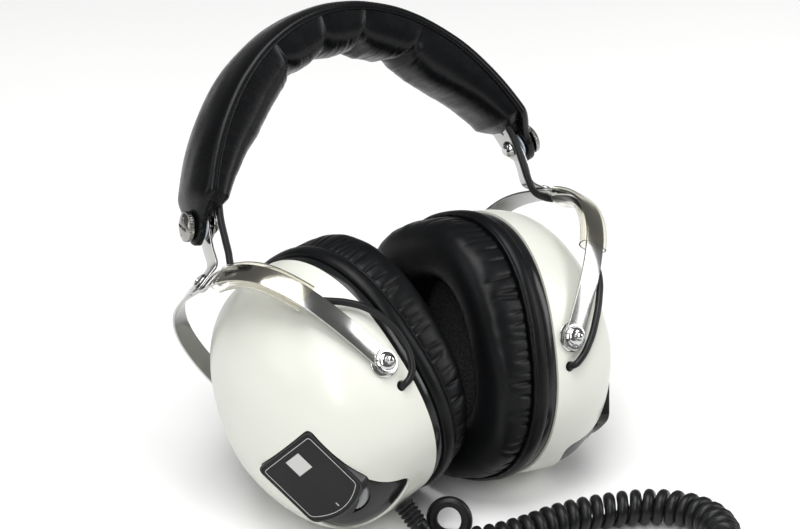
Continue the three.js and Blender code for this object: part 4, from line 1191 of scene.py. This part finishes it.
def helix_points():
    """The curly stretch, as turns around the coil's line."""
    knots = [(x, y, CORD["coil"] + 0.1) for x, y in COIL_AXIS]
    line = smooth_line(knots, 24)
    lengths = [0]
    for a, b in zip(line, line[1:]):
        lengths.append(lengths[-1] + (b - a).length)
    turns = int(lengths[-1] / CORD["pitch"])
    radius = CORD["coil"] - CORD["wire"] - 0.15
    result, i = [], 0
    steps = turns * 16 - 8
    for step in range(steps + 1):
        target = lengths[-1] * step / steps
        while i < len(line) - 2 and lengths[i + 1] < target:
            i += 1
        t = (target - lengths[i]) / (lengths[i + 1] - lengths[i])
        centre = line[i].lerp(line[i + 1], t)
        along = (line[i + 1] - line[i]).normalized()
        side = Vector((along.y, -along.x, 0))
        phase = tau * step / 16 - pi / 2
        result.append(centre + (side * cos(phase) + Vector((0, 0, 1)) * sin(phase)) * radius)
    return result


def tail_points():
    return [(87, -139.2, 10.6), (89.2, -136.6, 6.8), (93, -135.3, 3.4), (97.6, -133.8, 2.5), (100.2, -130, 3),
            (98, -125.8, 4.6), (93, -124.1, 6), (PLUG["x"] + GAP, PLUG["y"], PLUG["z"])]


def eased(points, first, last, times):
    """Smooths a stretch of a line so that it turns evenly."""
    points = [Vector(p) for p in points]
    for _ in range(times):
        moved = {i: points[i].lerp((points[i - 1] + points[i + 1]) / 2, 0.5) for i in range(first, last)}
        for i, p in moved.items():
            points[i] = p
    return points


def cord(with_pieces):
    first = smooth_line(lead_points(), 5)[:-1]
    last = smooth_line([tuple(helix_points()[-1])] + tail_points(), 6)[1:]
    points = first + helix_points() + last
    points = eased(points, 1, len(first) + 1, 8)
    points = eased(points, len(points) - len(last) - 1, len(points) - 1, 8)
    curve = tube_curve("cord", points, CORD["wire"], CORD_FRAME, smooth=False)
    curve.bevel_resolution = 5
    piece = add_object("curly_cord", curve, "left_cup", RUBBER,
                       ["cord_lead", "cord_coil", "cord_tail"])
    return piece


def strain_relief():
    profile = [(0, 0.8), (RELIEF["base"], 0.8), (RELIEF["base"], 1.6)]
    for h in spread(2.2, 8.2, 3):
        profile += [(3.2, h), (4.1, h + 0.45), (4.1, h + 1.1), (3.2, h + 1.5)]
    profile += [(3.6, 10.6), (RELIEF["tip"] + 0.3, RELIEF["length"] - 0.2), (2.5, RELIEF["length"]),
                (0, RELIEF["length"])]
    data = lathe("strain_relief", rounded(profile, 0.3), CORD_FRAME @ towards(CORD_START, CORD_DIRECTION), 72)
    return add_object("ribbed_relief", data, "left_cup", RUBBER, ["strain_relief"])


def plug():
    r, length = PLUG["grip_radius"], PLUG["grip_length"]
    profile = [(0, 0), (2.6, 0), (3.3, 0.6), (3.9, 8), (r - 0.7, 9), (r, 10.2)]
    for h in spread(13, length - 9, 7):
        profile += [(r, h), (r - 0.45, h + 0.35), (r - 0.45, h + 0.95), (r, h + 1.3)]
    profile += [(r, length - 2), (r - 0.8, length), (0, length)]
    matrix = CORD_FRAME @ towards((PLUG["x"], PLUG["y"], PLUG["z"]), (-1, 0, 0))
    grip = add_object("plug_body", lathe("plug_grip", rounded(profile, 0.3), matrix, 72), "left_cup",
                      SATIN_BLACK, ["plug_grip"])
    r, length = PLUG["jack_radius"], PLUG["jack_length"]
    profile = [(0, 0), (r, 0), (r, 16), (r - 0.12, 16.1), (r - 0.12, 17), (r, 17.1), (r, length - 5.2),
               (r - 0.12, length - 5.1), (r - 0.12, length - 4.3), (r, length - 4.2), (r - 1.1, length - 3.4),
               (r - 0.5, length - 2), (0.6, length), (0, length)]
    matrix = matrix @ Matrix.Translation((0, 0, PLUG["grip_length"] + GAP))
    jack = add_object("plug_pin", lathe("plug_jack", rounded(profile, 0.1), matrix, 72), "left_cup",
                      CHROME,
                      ["plug_jack"])
    bands = []
    for number, height in enumerate((16.1, length - 5.1)):
        band = lathe("band", rounded([(0, height), (r - 0.05, height), (r - 0.05, height + 0.85),
                                      (0, height + 0.85)], 0.05),
                     matrix, 48)
        bands.append(add_object(f"plug_band_{number}", band, "left_cup", SATIN_BLACK))
    return [grip, jack, *bands]


# CAD nodes that stay as they are take a finer finish.
def finish_kept_nodes():
    for side in SIDES:
        for node, material in (("driver_basket", STEEL), ("driver_magnet", STEEL), ("driver_cone", CONE),
                               ("potentiometer", STEEL)):
            data = NODES[f"{side}_{node}"].data
            data.materials.clear()
            data.materials.append(material)


# Floor, backdrop and lights.
def stage():
    material = Nodes("floor")
    cloud = material.noise(3, 2)
    material.finish(material.colours(cloud, (0.86, 0.86, 0.855), (0.88, 0.88, 0.875)), None, None,
                    Roughness=0.75)
    data = bpy.data.meshes.new("floor")
    data.from_pydata([(-6, -6, -0.0002), (6, -6, -0.0002), (6, 6, -0.0002), (-6, 6, -0.0002)], [],
                     [(0, 1, 2, 3)])
    data.materials.append(material.material)
    floor = bpy.data.objects.new("floor", data)
    bpy.context.scene.collection.objects.link(floor)
    world = bpy.data.worlds.new("studio")
    world.use_nodes = True
    world.node_tree.nodes["Background"].inputs["Color"].default_value = (1, 1, 1, 1)
    world.node_tree.nodes["Background"].inputs["Strength"].default_value = 0.16
    bpy.context.scene.world = world


def area_light(name, position, target, size, power):
    data = bpy.data.lights.new(name, "AREA")
    data.shape = "RECTANGLE"
    data.size, data.size_y = size
    data.energy = power
    light = bpy.data.objects.new(name, data)
    direction = Vector(target) - Vector(position)
    turned = direction.to_track_quat("-Z", "Y").to_matrix().to_4x4()
    light.matrix_world = Matrix.Translation(position) @ turned
    bpy.context.scene.collection.objects.link(light)


def lights():
    middle = (0, 0, 0.1)
    area_light("overhead", (-0.15, -0.25, 1.5), middle, (1.1, 1.1), 26)
    area_light("key", (-0.7, -1.05, 0.9), middle, (0.45, 0.8), 9)
    area_light("side", (-1.3, 0.1, 0.75), middle, (0.5, 1.1), 3.5)
    area_light("fill", (1.1, -0.7, 0.6), middle, (0.5, 0.8), 7)


# The view settings keep whites white.
def view_settings():
    scene = bpy.context.scene
    scene.view_settings.view_transform = "Standard"
    scene.view_settings.look = "None"


add_camera()
cord(plug())
strain_relief()
headband_cover()
headband_pad()
for edge in (-1, 1):
    band_piping(edge)
    band_stitches(edge)
headband_spring()
for side in SIDES:
    stem(side)
    adjuster(side)
    foot_rivet(side)
    yoke(side)
    sleeve(side)
    shell(side)
    volume_housing(side)
    label_plate(side)
    volume_wheel(side)
    baffle(side)
    flange(side)
    gathered_seam(side)
    cushion(side)
    ear_cloth(side)
    pivot(side, "rear", -1)
    pivot(side, "front", 1)
    lower_cable(side)
    upper_cable(side)
finish_kept_nodes()
stage()
lights()
view_settings()
